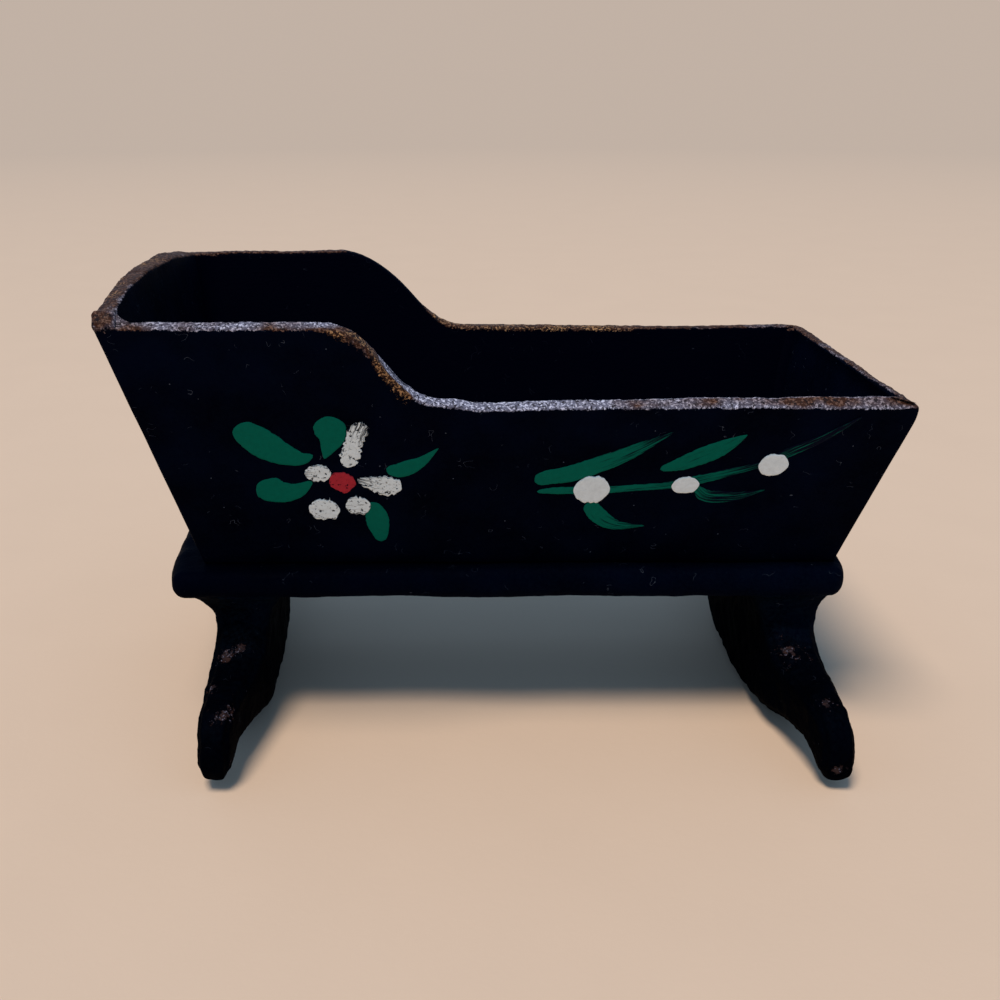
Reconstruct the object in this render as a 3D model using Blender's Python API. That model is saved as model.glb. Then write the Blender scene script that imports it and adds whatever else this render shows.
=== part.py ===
"""Dollhouse cradle.

An open tub of five flared boards stands on a wider base board, which two cross rockers carry.
Small round wire pins hold the boards together: through the sides into the end panels, up
through the base board into the end panels, and down through the base board into the rockers.

+X runs from the head end to the foot end, +Y from the front side to the back side, +Z up.
The origin is under the middle of the tub, on the surface that the rockers stand on.
Lengths are in metres and angles in degrees.
"""

import math

import bmesh
import bpy
from mathutils import Vector
from mathutils.geometry import interpolate_bezier

# Tub: its outside length and width where it stands on the base board, its boards and their lean
floor_length = 0.0665
floor_width = 0.0201
side_wall = 0.0015
end_wall = 0.0020
side_lean = 22.8
head_lean = 12.4
foot_lean = 10.2
head_height = 0.0276
foot_height = 0.0191

# Head panel: its crown and the two ends of its arch, above the rim of the sides
crown_rise = 0.0024
spring_rise = 0.0007

# Step in the rim of each side, an S curve from the high head part to the low foot part.
# The start is measured from the head end of the rim, and the turn is where the S changes hand.
front_step_start = 0.0215
front_step_length = 0.0115
front_turn_share = 0.45
back_step_start = 0.0197
back_step_length = 0.0155
back_turn_share = 0.62

# Base board and how far it stands out round the tub
base_thickness = 0.0026
side_overhang = 0.0029
head_overhang = 0.0027
foot_overhang = 0.0003

# Rockers: a bowed foot with two arms, a waist and shoulders that spread under the base board
rocker_height = 0.0153
rocker_length = 0.0502
rocking_radius = 0.0420
waist_width = 0.0194
shoulder_width = 0.0250
root_thickness = 0.0057
toe_thickness = 0.0032
head_rocker_inset = 0.0036
foot_rocker_inset = 0.0012
head_rocker_flare = 0.0029
foot_rocker_flare = 0.0010
inner_flare = 0.0024

# Pins of round wire with a flat head, and the room round them
pin_radius = 0.00035
pin_head_radius = 0.00065
pin_head_thickness = 0.00030
pin_point_length = 0.0008
pin_sink = 0.00015
pin_clearance = 0.00020
corner_pin_length = 0.0050
end_pin_length = 0.0066
rocker_pin_length = 0.0076

# Small sizes that several pieces share
joint_gap = 0.0003
board_round = 0.00025
base_round = 0.0009
rocker_round = 0.0009
cut_overrun = 0.0020

# Places as shares of the size they follow
corner_pin_height_shares = (0.24, 0.74)
end_pin_width_share = 0.26
rocker_pin_width_share = 0.28
rocker_pin_depth_share = 0.36
rocking_reach_share = 0.46
waist_height_share = 0.78
taper_start_share = 0.36
arm_shares = (
    (0.57, 0.140),
    (0.68, 0.172),
    (0.78, 0.180),
    (0.86, 0.125),
    (0.915, 0.068),
    (0.975, 0.085),
    (1.0, 0.225),
    (0.97, 0.385),
    (0.88, 0.495),
    (0.74, 0.540),
    (0.60, 0.575),
    (0.49, 0.645),
)
shoulder_shares = ((0.12, 0.90), (0.50, 0.96))
cross_cut_shares = (0.0, 0.2, 0.4, 0.55, 0.7, 0.85)
height_cut_shares = (0.72, 0.80, 0.86, 0.91, 0.96)

# Counts that set how fine the round shapes are
step_points = 12
arch_points = 16
rocking_points = 9
arm_steps = 3
round_segments = 2
base_segments = 3
pin_sides = 12

# Levels and ends that follow from the sizes above
base_bottom = rocker_height + joint_gap
base_top = base_bottom + base_thickness
wall_bottom = base_top + joint_gap
side_tangent = math.tan(math.radians(side_lean))
head_tangent = math.tan(math.radians(head_lean))
foot_tangent = math.tan(math.radians(foot_lean))
head_reach = (head_height + crown_rise) * head_tangent
foot_reach = (foot_height + side_wall * math.sin(math.radians(side_lean))) * foot_tangent
floor_head = (head_reach - foot_reach - floor_length) / 2
floor_foot = floor_head + floor_length
rim_head = floor_head - head_height * head_tangent
base_head = floor_head - head_overhang
base_foot = floor_foot + foot_overhang
base_width = floor_width + 2 * side_overhang

PAINT = (0.0025, 0.0035, 0.011, 1.0)
STEEL = (0.45, 0.44, 0.42, 1.0)


class Plane:
    """A board's outer plane: a point on its lower edge, its outward normal and its slope."""

    def __init__(self, foot, outward, slope):
        self.foot = Vector(foot)
        self.outward = Vector(outward)
        self.slope = Vector(slope)

    def inside(self, depth):
        """The point on the lower edge, moved into the board by depth."""
        return self.foot - self.outward * depth


def side_plane(side):
    """Outer plane of a side board: side is -1 at the front and 1 at the back."""
    lean = math.radians(side_lean)
    return Plane(
        (0, side * floor_width / 2, wall_bottom),
        (0, side * math.cos(lean), -math.sin(lean)),
        (0, side * math.sin(lean), math.cos(lean)),
    )


def end_plane(end):
    """Outer plane of an end panel: end is -1 at the head and 1 at the foot."""
    lean = math.radians(head_lean if end < 0 else foot_lean)
    return Plane(
        (floor_head if end < 0 else floor_foot, 0, wall_bottom),
        (end * math.cos(lean), 0, -math.sin(lean)),
        (end * math.sin(lean), 0, math.cos(lean)),
    )


def clear_scene():
    for thing in list(bpy.data.objects):
        bpy.data.objects.remove(thing)


def painted_wood(name):
    material = bpy.data.materials.new(name)
    material.use_nodes = True
    shader = material.node_tree.nodes["Principled BSDF"]
    shader.inputs["Base Color"].default_value = PAINT
    shader.inputs["Roughness"].default_value = 0.42
    shader.inputs["Metallic"].default_value = 0.0
    return material


def bright_steel(name):
    material = bpy.data.materials.new(name)
    material.use_nodes = True
    shader = material.node_tree.nodes["Principled BSDF"]
    shader.inputs["Base Color"].default_value = STEEL
    shader.inputs["Roughness"].default_value = 0.35
    shader.inputs["Metallic"].default_value = 1.0
    return material


def finish(name, bm, material, crease=35.0):
    """Make an object of a bmesh, with outward faces, round parts smooth and its own material."""
    bmesh.ops.recalc_face_normals(bm, faces=bm.faces)
    if bm.calc_volume(signed=True) < 0:
        bmesh.ops.reverse_faces(bm, faces=bm.faces)
    mesh = bpy.data.meshes.new(name)
    bm.to_mesh(mesh)
    bm.free()
    mesh.shade_smooth()
    mesh.set_sharp_from_angle(angle=math.radians(crease))
    mesh.materials.append(material)
    thing = bpy.data.objects.new(name, mesh)
    bpy.context.scene.collection.objects.link(thing)
    return thing


def round_edges(thing, width, segments):
    bevel = thing.modifiers.new("round_edges", "BEVEL")
    bevel.width = width
    bevel.segments = segments
    bevel.limit_method = "ANGLE"
    bevel.angle_limit = math.radians(50)


def drill(thing, cutter):
    cut = thing.modifiers.new("drill_" + cutter.name, "BOOLEAN")
    cut.operation = "DIFFERENCE"
    cut.solver = "EXACT"
    cut.object = cutter


def trim(bm, point, outward):
    """Cut a closed shape by a plane, drop what lies beyond it and close the cut."""
    everything = list(bm.verts) + list(bm.edges) + list(bm.faces)
    bmesh.ops.bisect_plane(bm, geom=everything, plane_co=point, plane_no=outward, clear_outer=True)
    open_edges = [edge for edge in bm.edges if edge.is_boundary]
    bmesh.ops.holes_fill(bm, edges=open_edges, sides=0)


def plate(outline, thickness_vector):
    """A closed plate from an outline of points and the vector through its thickness."""
    bm = bmesh.new()
    corners = [bm.verts.new(point) for point in outline]
    face = bm.faces.new(corners)
    grown = bmesh.ops.extrude_face_region(bm, geom=[face])
    moved = [item for item in grown["geom"] if isinstance(item, bmesh.types.BMVert)]
    bmesh.ops.translate(bm, verts=moved, vec=thickness_vector)
    return bm


def step_profile(start, length, turn_share):
    """Points (x, height above the wall's lower edge) down the S curve in a side's rim."""
    drop = head_height - foot_height
    points = []
    for index in range(step_points + 1):
        share = index / step_points
        if share < turn_share:
            fallen = share ** 2 / turn_share
        else:
            fallen = 1 - (1 - share) ** 2 / (1 - turn_share)
        points.append((rim_head + start + share * length, head_height - fallen * drop))
    return points


def side_board(name, side, start, length, turn_share):
    """A side board: an S curve in its rim, ends and lower edge cut by the neighbours' planes."""
    plane = side_plane(side)
    lean = math.radians(side_lean)
    far_head = rim_head - cut_overrun
    far_foot = floor_foot + foot_reach + cut_overrun
    profile = [(far_head, head_height)]
    profile += step_profile(start, length, turn_share)
    profile += [(far_foot, foot_height), (far_foot, -cut_overrun), (far_head, -cut_overrun)]
    outline = []
    for x, height in profile:
        outline.append(plane.foot + Vector((x, 0, 0)) + plane.slope * (height / math.cos(lean)))
    bm = plate(outline, -plane.outward * side_wall)
    trim(bm, plane.foot, Vector((0, 0, -1)))
    for end in (-1, 1):
        trim(bm, end_plane(end).foot, end_plane(end).outward)
    thing = finish(name, bm, painted_wood(name + "_paint"))
    round_edges(thing, board_round, round_segments)
    return thing


def arch_profile():
    """Points (y, height) over the head panel's low arch, wider than the panel."""
    half = floor_width / 2 + head_height * side_tangent
    points = []
    for index in range(arch_points + 1):
        share = 2 * index / arch_points - 1
        height = head_height + spring_rise + (crown_rise - spring_rise) * (1 - share ** 2)
        points.append((share * half, height))
    return points


def end_panel(name, end, top):
    """An end panel, fitted between the sides, whose upper edge follows the points in top."""
    plane = end_plane(end)
    lean = math.radians(head_lean if end < 0 else foot_lean)
    half = top[-1][0]
    profile = list(top) + [(half, -cut_overrun), (-half, -cut_overrun)]
    outline = []
    for y, height in profile:
        outline.append(plane.foot + Vector((0, y, 0)) + plane.slope * (height / math.cos(lean)))
    bm = plate(outline, -plane.outward * end_wall)
    trim(bm, plane.foot, Vector((0, 0, -1)))
    for side in (-1, 1):
        neighbour = side_plane(side)
        trim(bm, neighbour.inside(side_wall + joint_gap), neighbour.outward)
    thing = finish(name, bm, painted_wood(name + "_paint"))
    round_edges(thing, board_round, round_segments)
    return thing


def mark_floor(bm):
    """Cut edges into the base board just inside the tub's walls, so that its floor is a face."""
    half = floor_width / 2 - side_wall / math.cos(math.radians(side_lean)) - joint_gap
    head = floor_head + end_wall / math.cos(math.radians(head_lean)) + joint_gap
    foot = floor_foot - end_wall / math.cos(math.radians(foot_lean)) - joint_gap
    along = Vector((1, 0, 0))
    across = Vector((0, 1, 0))
    for point, normal in (
        (along * head, along), (along * foot, along), (across * half, across), (across * -half, across),
    ):
        everything = list(bm.verts) + list(bm.edges) + list(bm.faces)
        bmesh.ops.bisect_plane(bm, geom=everything, plane_co=point, plane_no=normal)


def base_board():
    """The flat board under the tub, with rounded edges all round."""
    half = base_width / 2
    outline = [
        Vector((base_head, -half, base_bottom)),
        Vector((base_foot, -half, base_bottom)),
        Vector((base_foot, half, base_bottom)),
        Vector((base_head, half, base_bottom)),
    ]
    bm = plate(outline, Vector((0, 0, base_thickness)))
    mark_floor(bm)
    thing = finish("base_board", bm, painted_wood("base_board_paint"))
    round_edges(thing, base_round, base_segments)
    return thing


def smooth_run(knots, steps):
    """A smooth curve through the knots, with steps points to each stretch."""
    points = []
    for index in range(1, len(knots) - 2):
        before, start, end, after = knots[index - 1:index + 3]
        leave = start + (end - before) / 6
        arrive = end - (after - start) / 6
        points += interpolate_bezier(start, leave, arrive, end, steps + 1)[:-1]
    return points


def rocker_half():
    """Points (y, z) up one half of a rocker, from its lowest part to above its shoulder."""
    half = rocker_length / 2
    reach = half * rocking_reach_share
    points = []
    for index in range(rocking_points):
        y = reach * (index + 0.5) / rocking_points
        points.append(Vector((y, rocking_radius - math.sqrt(rocking_radius ** 2 - y ** 2))))
    lowest = points[0].y
    points = [Vector((point.x, point.y - lowest)) for point in points]
    waist = Vector((waist_width / 2, rocker_height * waist_height_share))
    shoulder = Vector((shoulder_width / 2, rocker_height))
    knots = [points[-2], points[-1]]
    knots += [Vector((half * across, rocker_height * up)) for across, up in arm_shares]
    knots.append(waist)
    for out, up in shoulder_shares:
        knots.append(Vector((waist.x + out * (shoulder.x - waist.x), rocker_height * up)))
    knots.append(shoulder)
    knots.append(2 * shoulder - knots[-2])
    above = Vector((shoulder.x, rocker_height + cut_overrun))
    return points[:-1] + smooth_run(knots, arm_steps) + [shoulder, above]


def ease(share):
    """A share from 0 to 1, held to that range and eased at both ends."""
    held = min(max(share, 0), 1)
    return held * held * (3 - 2 * held)


def shape_rocker(bm, outer, inward, outer_flare):
    """Taper a plain rocker plate towards its toes and spread it under the base board."""
    waist = rocker_height * waist_height_share
    taper_start = rocker_length / 2 * taper_start_share
    for vert in bm.verts:
        depth = (vert.co.x - outer) * inward / root_thickness
        reach = (abs(vert.co.y) - taper_start) / (rocker_length / 2 - taper_start)
        thickness = root_thickness + (toe_thickness - root_thickness) * ease(reach)
        spread = max(vert.co.z - waist, 0) / (rocker_height - waist)
        near = -outer_flare * spread ** 2
        far = thickness + inner_flare * spread ** 2
        vert.co.x = outer + inward * (near + depth * (far - near))


def rocker(name, outer, inward, outer_flare):
    """A rocker whose outer face stands at outer, with inward 1 or -1 towards the middle."""
    half = rocker_half()
    loop = half + [Vector((-point.x, point.y)) for point in reversed(half)]
    outline = [Vector((outer, point.x, point.y)) for point in loop]
    bm = plate(outline, Vector((inward * root_thickness, 0, 0)))
    rim = [edge for edge in bm.edges if abs(edge.verts[0].co.x - edge.verts[1].co.x) < board_round]
    bmesh.ops.bevel(
        bm, geom=rim, offset=rocker_round, offset_type="OFFSET", segments=round_segments,
        affect="EDGES", clamp_overlap=True,
    )
    trim(bm, Vector((0, 0, rocker_height)), Vector((0, 0, 1)))
    cuts = [(rocker_length / 2 * share, 1) for share in cross_cut_shares]
    cuts += [(-rocker_length / 2 * share, 1) for share in cross_cut_shares[1:]]
    cuts += [(rocker_height * share, 2) for share in height_cut_shares]
    for place, axis in cuts:
        point = Vector((0, 0, 0))
        normal = Vector((0, 0, 0))
        point[axis] = place
        normal[axis] = 1
        everything = list(bm.verts) + list(bm.edges) + list(bm.faces)
        bmesh.ops.bisect_plane(bm, geom=everything, plane_co=point, plane_no=normal)
    shape_rocker(bm, outer, inward, outer_flare)
    return finish(name, bm, painted_wood(name + "_paint"))


def turned(profile, sides):
    """A round solid about Z from points (radius, height), closed at both ends on its axis."""
    bm = bmesh.new()
    verts = [bm.verts.new((radius, 0, height)) for radius, height in profile]
    edges = [bm.edges.new(pair) for pair in zip(verts, verts[1:])]
    bmesh.ops.spin(
        bm, geom=verts + edges, cent=(0, 0, 0), axis=(0, 0, 1), angle=2 * math.pi,
        steps=sides, use_merge=True,
    )
    bmesh.ops.remove_doubles(bm, verts=bm.verts, dist=pin_radius / sides)
    return bm


def place_along(bm, seat, direction):
    """Turn a round solid so that its axis runs along direction, and move it to seat."""
    turn = Vector((0, 0, 1)).rotation_difference(direction)
    for vert in bm.verts:
        vert.co = turn @ vert.co + seat


def pin(name, seat, direction, length):
    """A wire pin whose head is sunk just below the surface at seat, driven along direction."""
    top = pin_sink
    profile = [
        (0, top),
        (pin_head_radius, top),
        (pin_head_radius, top + pin_head_thickness),
        (pin_radius, top + pin_head_thickness),
        (pin_radius, length - pin_point_length),
        (0, length),
    ]
    bm = turned(profile, pin_sides)
    place_along(bm, seat, direction)
    return finish(name, bm, bright_steel(name + "_steel"), crease=30.0)


def pin_hole(name, seat, direction, length):
    """A cutter for one pin: a hole along its shank and a seat for its head."""
    shank = pin_radius + pin_clearance
    head = pin_head_radius + pin_clearance
    head_floor = pin_sink + pin_head_thickness + pin_clearance
    profile = [
        (0, -cut_overrun),
        (head, -cut_overrun),
        (head, head_floor),
        (shank, head_floor),
        (shank, length + pin_clearance),
        (0, length + pin_clearance),
    ]
    bm = turned(profile, pin_sides)
    place_along(bm, seat, direction)
    cutter = finish(name + "_cutter", bm, bpy.data.materials.new(name + "_guide"))
    cutter.hide_render = True
    cutter.display_type = "WIRE"
    return cutter


def drive_pin(name, seat, direction, length, boards):
    """Put a pin where it belongs and drill its hole in the boards it passes."""
    cutter = pin_hole(name, seat, direction, length)
    for board in boards:
        drill(board, cutter)
    pin(name, seat, direction, length)


def drive_corner_pins(sides, panels):
    """Two pins at each corner, through a side board and along the edge of an end panel."""
    for side, side_name in ((-1, "front"), (1, "back")):
        for end, end_name in ((-1, "head"), (1, "foot")):
            plane = side_plane(side)
            panel = end_plane(end)
            height = head_height if end < 0 else foot_height
            inward = -plane.outward
            direction = (inward - panel.outward * inward.dot(panel.outward)).normalized()
            middle = panel.inside(end_wall / 2)
            for share, level in zip(corner_pin_height_shares, ("lower", "upper")):
                rise = height * share
                x = middle.x + panel.slope.x / panel.slope.z * rise
                y = side * (floor_width / 2 + rise * side_tangent)
                seat = Vector((x, y, wall_bottom + rise))
                name = f"{side_name}_{end_name}_pin_{level}"
                drive_pin(name, seat, direction, corner_pin_length, (sides[side], panels[end]))


def drive_end_pins(base, panels):
    """Two pins up through the base board into the lower edge of each end panel."""
    for end, end_name in ((-1, "head"), (1, "foot")):
        panel = end_plane(end)
        middle = panel.inside(end_wall / 2)
        drop = middle.z - base_bottom
        x = middle.x - panel.slope.x / panel.slope.z * drop
        for side, side_name in ((-1, "front"), (1, "back")):
            seat = Vector((x, side * floor_width * end_pin_width_share, base_bottom))
            name = f"{end_name}_panel_pin_{side_name}"
            drive_pin(name, seat, panel.slope, end_pin_length, (base, panels[end]))


def drive_rocker_pins(base, rockers):
    """Two pins down through the base board into each rocker."""
    down = Vector((0, 0, -1))
    for end, end_name in ((-1, "head"), (1, "foot")):
        outer, inward = rocker_places()[end]
        x = outer + inward * root_thickness * (1 - rocker_pin_depth_share)
        for side, side_name in ((-1, "front"), (1, "back")):
            seat = Vector((x, side * waist_width * rocker_pin_width_share, base_top))
            name = f"{end_name}_rocker_pin_{side_name}"
            drive_pin(name, seat, down, rocker_pin_length, (base, rockers[end]))


def rocker_places():
    """Where each rocker's outer face stands, and which way its thickness runs."""
    return {
        -1: (base_head + head_rocker_inset, 1),
        1: (base_foot - foot_rocker_inset, -1),
    }


def build():
    clear_scene()
    flat_top = floor_width / 2 + foot_height * side_tangent
    sides = {
        -1: side_board("front_side", -1, front_step_start, front_step_length, front_turn_share),
        1: side_board("back_side", 1, back_step_start, back_step_length, back_turn_share),
    }
    panels = {
        -1: end_panel("head_panel", -1, arch_profile()),
        1: end_panel("foot_panel", 1, [(-flat_top, foot_height), (flat_top, foot_height)]),
    }
    base = base_board()
    places = rocker_places()
    rockers = {
        -1: rocker("head_rocker", *places[-1], head_rocker_flare),
        1: rocker("foot_rocker", *places[1], foot_rocker_flare),
    }
    drive_corner_pins(sides, panels)
    drive_end_pins(base, panels)
    drive_rocker_pins(base, rockers)


build()
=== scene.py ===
"""Dollhouse cradle with a painted flower and a sprig of berries.

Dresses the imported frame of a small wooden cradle: enamelled boards with rubbed rims, a base
plank, two hand-shaped rockers, and the strokes of paint on the front side.

+X runs from the head end to the foot end, +Y from the front side to the back side, +Z up.
The origin is under the middle of the tub, on the surface that the rockers stand on.
All lengths are in metres.
"""

import math

import bmesh
import bpy
from bpy.props import FloatProperty, FloatVectorProperty, PointerProperty
from mathutils import Matrix, Vector, noise
from mathutils.geometry import interpolate_bezier


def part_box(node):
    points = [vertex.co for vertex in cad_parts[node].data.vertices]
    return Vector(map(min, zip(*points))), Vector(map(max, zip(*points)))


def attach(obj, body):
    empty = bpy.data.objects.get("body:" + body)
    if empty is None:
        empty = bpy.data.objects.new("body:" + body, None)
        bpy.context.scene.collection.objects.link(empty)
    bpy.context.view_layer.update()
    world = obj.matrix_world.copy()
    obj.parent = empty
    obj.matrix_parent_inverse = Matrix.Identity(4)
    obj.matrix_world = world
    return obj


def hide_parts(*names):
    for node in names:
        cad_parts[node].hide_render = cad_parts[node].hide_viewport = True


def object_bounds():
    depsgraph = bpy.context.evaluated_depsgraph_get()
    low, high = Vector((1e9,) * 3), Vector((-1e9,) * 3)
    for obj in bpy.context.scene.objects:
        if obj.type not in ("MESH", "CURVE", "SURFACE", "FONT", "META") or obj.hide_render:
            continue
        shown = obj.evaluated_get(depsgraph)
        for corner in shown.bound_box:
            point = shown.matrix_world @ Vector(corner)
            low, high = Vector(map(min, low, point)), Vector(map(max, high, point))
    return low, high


bl_info = {
    "name": "Dollhouse cradle",
    "version": (1, 0, 0),
    "blender": (4, 5, 0),
    "location": "3D View > Sidebar > Cradle",
    "description": "Dresses the frame of a small painted wooden cradle",
    "category": "Add Mesh",
}

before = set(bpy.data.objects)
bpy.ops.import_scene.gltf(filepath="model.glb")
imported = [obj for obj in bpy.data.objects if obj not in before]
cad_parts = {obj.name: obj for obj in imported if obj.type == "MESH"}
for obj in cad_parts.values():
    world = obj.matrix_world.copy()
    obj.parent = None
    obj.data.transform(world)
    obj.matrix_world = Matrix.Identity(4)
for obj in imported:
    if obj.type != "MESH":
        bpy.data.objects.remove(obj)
cad_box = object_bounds()
base_low, base_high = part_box("base_board")
tub_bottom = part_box("front_side")[0].z


# Properties that a user would change

def number(name, description, default, **settings):
    return FloatProperty(name=name, description=description, default=default, **settings)


def length(name, description, default):
    return number(name, description, default, unit="LENGTH", precision=5)


def lean(name, description, degrees):
    return number(name, description, math.radians(degrees), subtype="ANGLE", unit="ROTATION")


def share(name, description, default):
    return number(name, description, default, min=0, max=1, subtype="FACTOR")


def colour(name, description, default):
    default = (*default, 1.0)
    return FloatVectorProperty(
        name=name, description=description, default=default, size=4, min=0, max=1, subtype="COLOR"
    )


class CradleTub(bpy.types.PropertyGroup):
    """Driving sizes of the tub, as its boards have them."""

    floor_length: length("Floor length", "Outside length of the tub where it stands on the base", 0.0665)
    floor_width: length("Floor width", "Outside width of the tub where it stands on the base", 0.0201)
    side_wall: length("Side wall", "Thickness of the two side boards", 0.0015)
    end_wall: length("End wall", "Thickness of the two end panels", 0.0020)
    side_lean: lean("Side lean", "How far the sides lean outwards", 22.8)
    head_lean: lean("Head lean", "How far the head panel leans outwards", 12.4)
    foot_lean: lean("Foot lean", "How far the foot panel leans outwards", 10.2)
    head_height: length("Head height", "Height of the sides' rim at the head end", 0.0276)
    foot_height: length("Foot height", "Height of the sides' rim at the foot end", 0.0191)
    crown_rise: length("Crown rise", "Middle of the head panel's arch above the rim", 0.0024)
    spring_rise: length("Spring rise", "Ends of the head panel's arch above the rim", 0.0010)
    front_step_start: length("Front step start", "From the head end to the step in the front rim", 0.02055)
    front_step_length: length("Front step length", "Length of the step in the front rim", 0.0113)
    front_turn: share("Front turn", "Where the front step's curve changes hand", 0.45)
    front_tail: length("Front tail", "How far the front rim is filled up at the step's end", 0.00045)
    front_tail_reach: length("Front tail reach", "How far from the front step's end this reaches", 0.0018)
    back_step_start: length("Back step start", "From the head end to the step in the back rim", 0.0190)
    back_step_length: length("Back step length", "Length of the step in the back rim", 0.0155)
    back_turn: share("Back turn", "Where the back step's curve changes hand", 0.62)
    back_tail: length("Back tail", "How far the back rim is filled up at the step's end", 0.0003)
    back_tail_reach: length("Back tail reach", "How far from the back step's end this reaches", 0.0110)
    back_rise: length("Back rise", "Back rim's high part above the front rim's", 0.00025)
    foot_belly: length("Foot belly", "How far the foot end bulges below its rim", 0.00045)
    belly_reach: length("Belly reach", "How far below the rim the foot end's bulge is full", 0.0018)
    foot_rim_wall: length("Foot rim wall", "Thickness of the foot panel at its rim", 0.0012)
    corner_rise: length("Corner rise", "How far the front rim rises to meet the arch", 0.0005)
    corner_reach: length("Corner reach", "Where the front rim starts to rise", 0.0030)
    knob_place: length("Knob place", "From the arch's front end to the lump on it", 0.0016)
    knob_rise: length("Knob rise", "Height of the lump near the front end of the arch", 0.00035)
    knob_reach: length("Knob reach", "Width of the lump near the front end of the arch", 0.0009)
    sharp_corner: length("Sharp corner", "Radius of the tub's two front corners", 0.0005)
    head_corner: length("Head corner", "Radius of the tub's corner at the back of the head end", 0.0026)
    foot_corner: length("Foot corner", "Radius of the tub's corner at the back of the foot end", 0.0032)
    corner_depth: length("Corner depth", "How far below the rim the back corners are rounded", 0.0036)


class CradleStand(bpy.types.PropertyGroup):
    """Driving sizes of the base plank and the rockers."""

    base_round: length("Base rounding", "Radius of the base plank's edges", 0.00115)
    base_waver: length("Base waver", "How far the base plank's edges waver", 0.00018)
    head_bulge: length("Head bulge", "How far the base plank's head end bulges in plan", 0.0010)
    foot_bulge: length("Foot bulge", "How far the base plank's foot end bulges in plan", 0.0015)
    base_swell: length("Base swell", "How far the base plank swells up outside the tub", 0.00040)
    swell_reach: length("Swell reach", "Width over which the base plank swells up", 0.0008)
    base_sag: length("Base sag", "How far the base plank's paint hangs below the plank", 0.0003)
    root_thickness: length("Root thickness", "Thickness of a rocker under the base plank", 0.0057)
    root_flare: length("Root flare", "How far a rocker's root spreads under the base plank", 0.0026)
    root_curve: number("Root curve", "How hollow a rocker's root is", 1.9)
    waist_width: length("Waist width", "Width of a rocker at its waist", 0.0196)
    waist_height: length("Waist height", "Height of a rocker's waist above the floor", 0.0108)
    root_blend: length("Root blend", "Height above which a rocker is smoothed into its root", 0.0080)
    toe_start: length("Toe start", "From the middle of a rocker to its toes", 0.0195)
    toe_top: length("Toe top", "Height below which the toes are rounded", 0.0036)
    toe_bottom: length("Toe bottom", "Height of the toes' lowest point", 0.0008)
    toe_round: length("Toe rounding", "How far the edges of the toes' soles are lifted", 0.0009)
    head_inset: length("Head inset", "From the base plank's head end to the head rocker", 0.0036)
    foot_inset: length("Foot inset", "From the base plank's foot end to the foot rocker", 0.0012)
    voxel: length("Voxel", "Size of a face on the rockers", 0.00020)
    rocker_waver: length("Rocker waver", "How far the rockers are out of true", 0.00055)
    rocker_lumps: length("Rocker lumps", "How lumpy the rockers' paint is", 0.00026)
    chip_depth: length("Chip depth", "How deep a chip in the paint is", 0.00012)


class CradleWork(bpy.types.PropertyGroup):
    """How finely and how roughly the pieces are made."""

    cell: length("Cell", "Size of a face along the boards", 0.00028)
    board_round: length("Board rounding", "Radius of the boards' edges", 0.00038)
    rim_waver: length("Rim waver", "How far the rims waver up and down", 0.00020)
    rim_rough: length("Rim roughness", "How far the rims are rough to the touch", 0.00011)
    face_waver: length("Face waver", "How far the boards' faces are out of true", 0.00006)
    wear_width: length("Wear width", "How far down from the rim the paint is rubbed", 0.0010)
    least_wear: share("Least wear", "Share of that width on the side that is rubbed least", 0.35)
    fillet: length("Corner fillet", "Radius of the paint that has run into the tub's corners", 0.0014)
    head_fillet: length("Head fillet", "The same in the corner at the back of the head end", 0.0030)
    paint_height: length("Stroke height", "How far a brush stroke stands up from the board", 0.00007)
    motif: length("Motif unit", "The length that the motifs' points count as one", 0.010)


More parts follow.
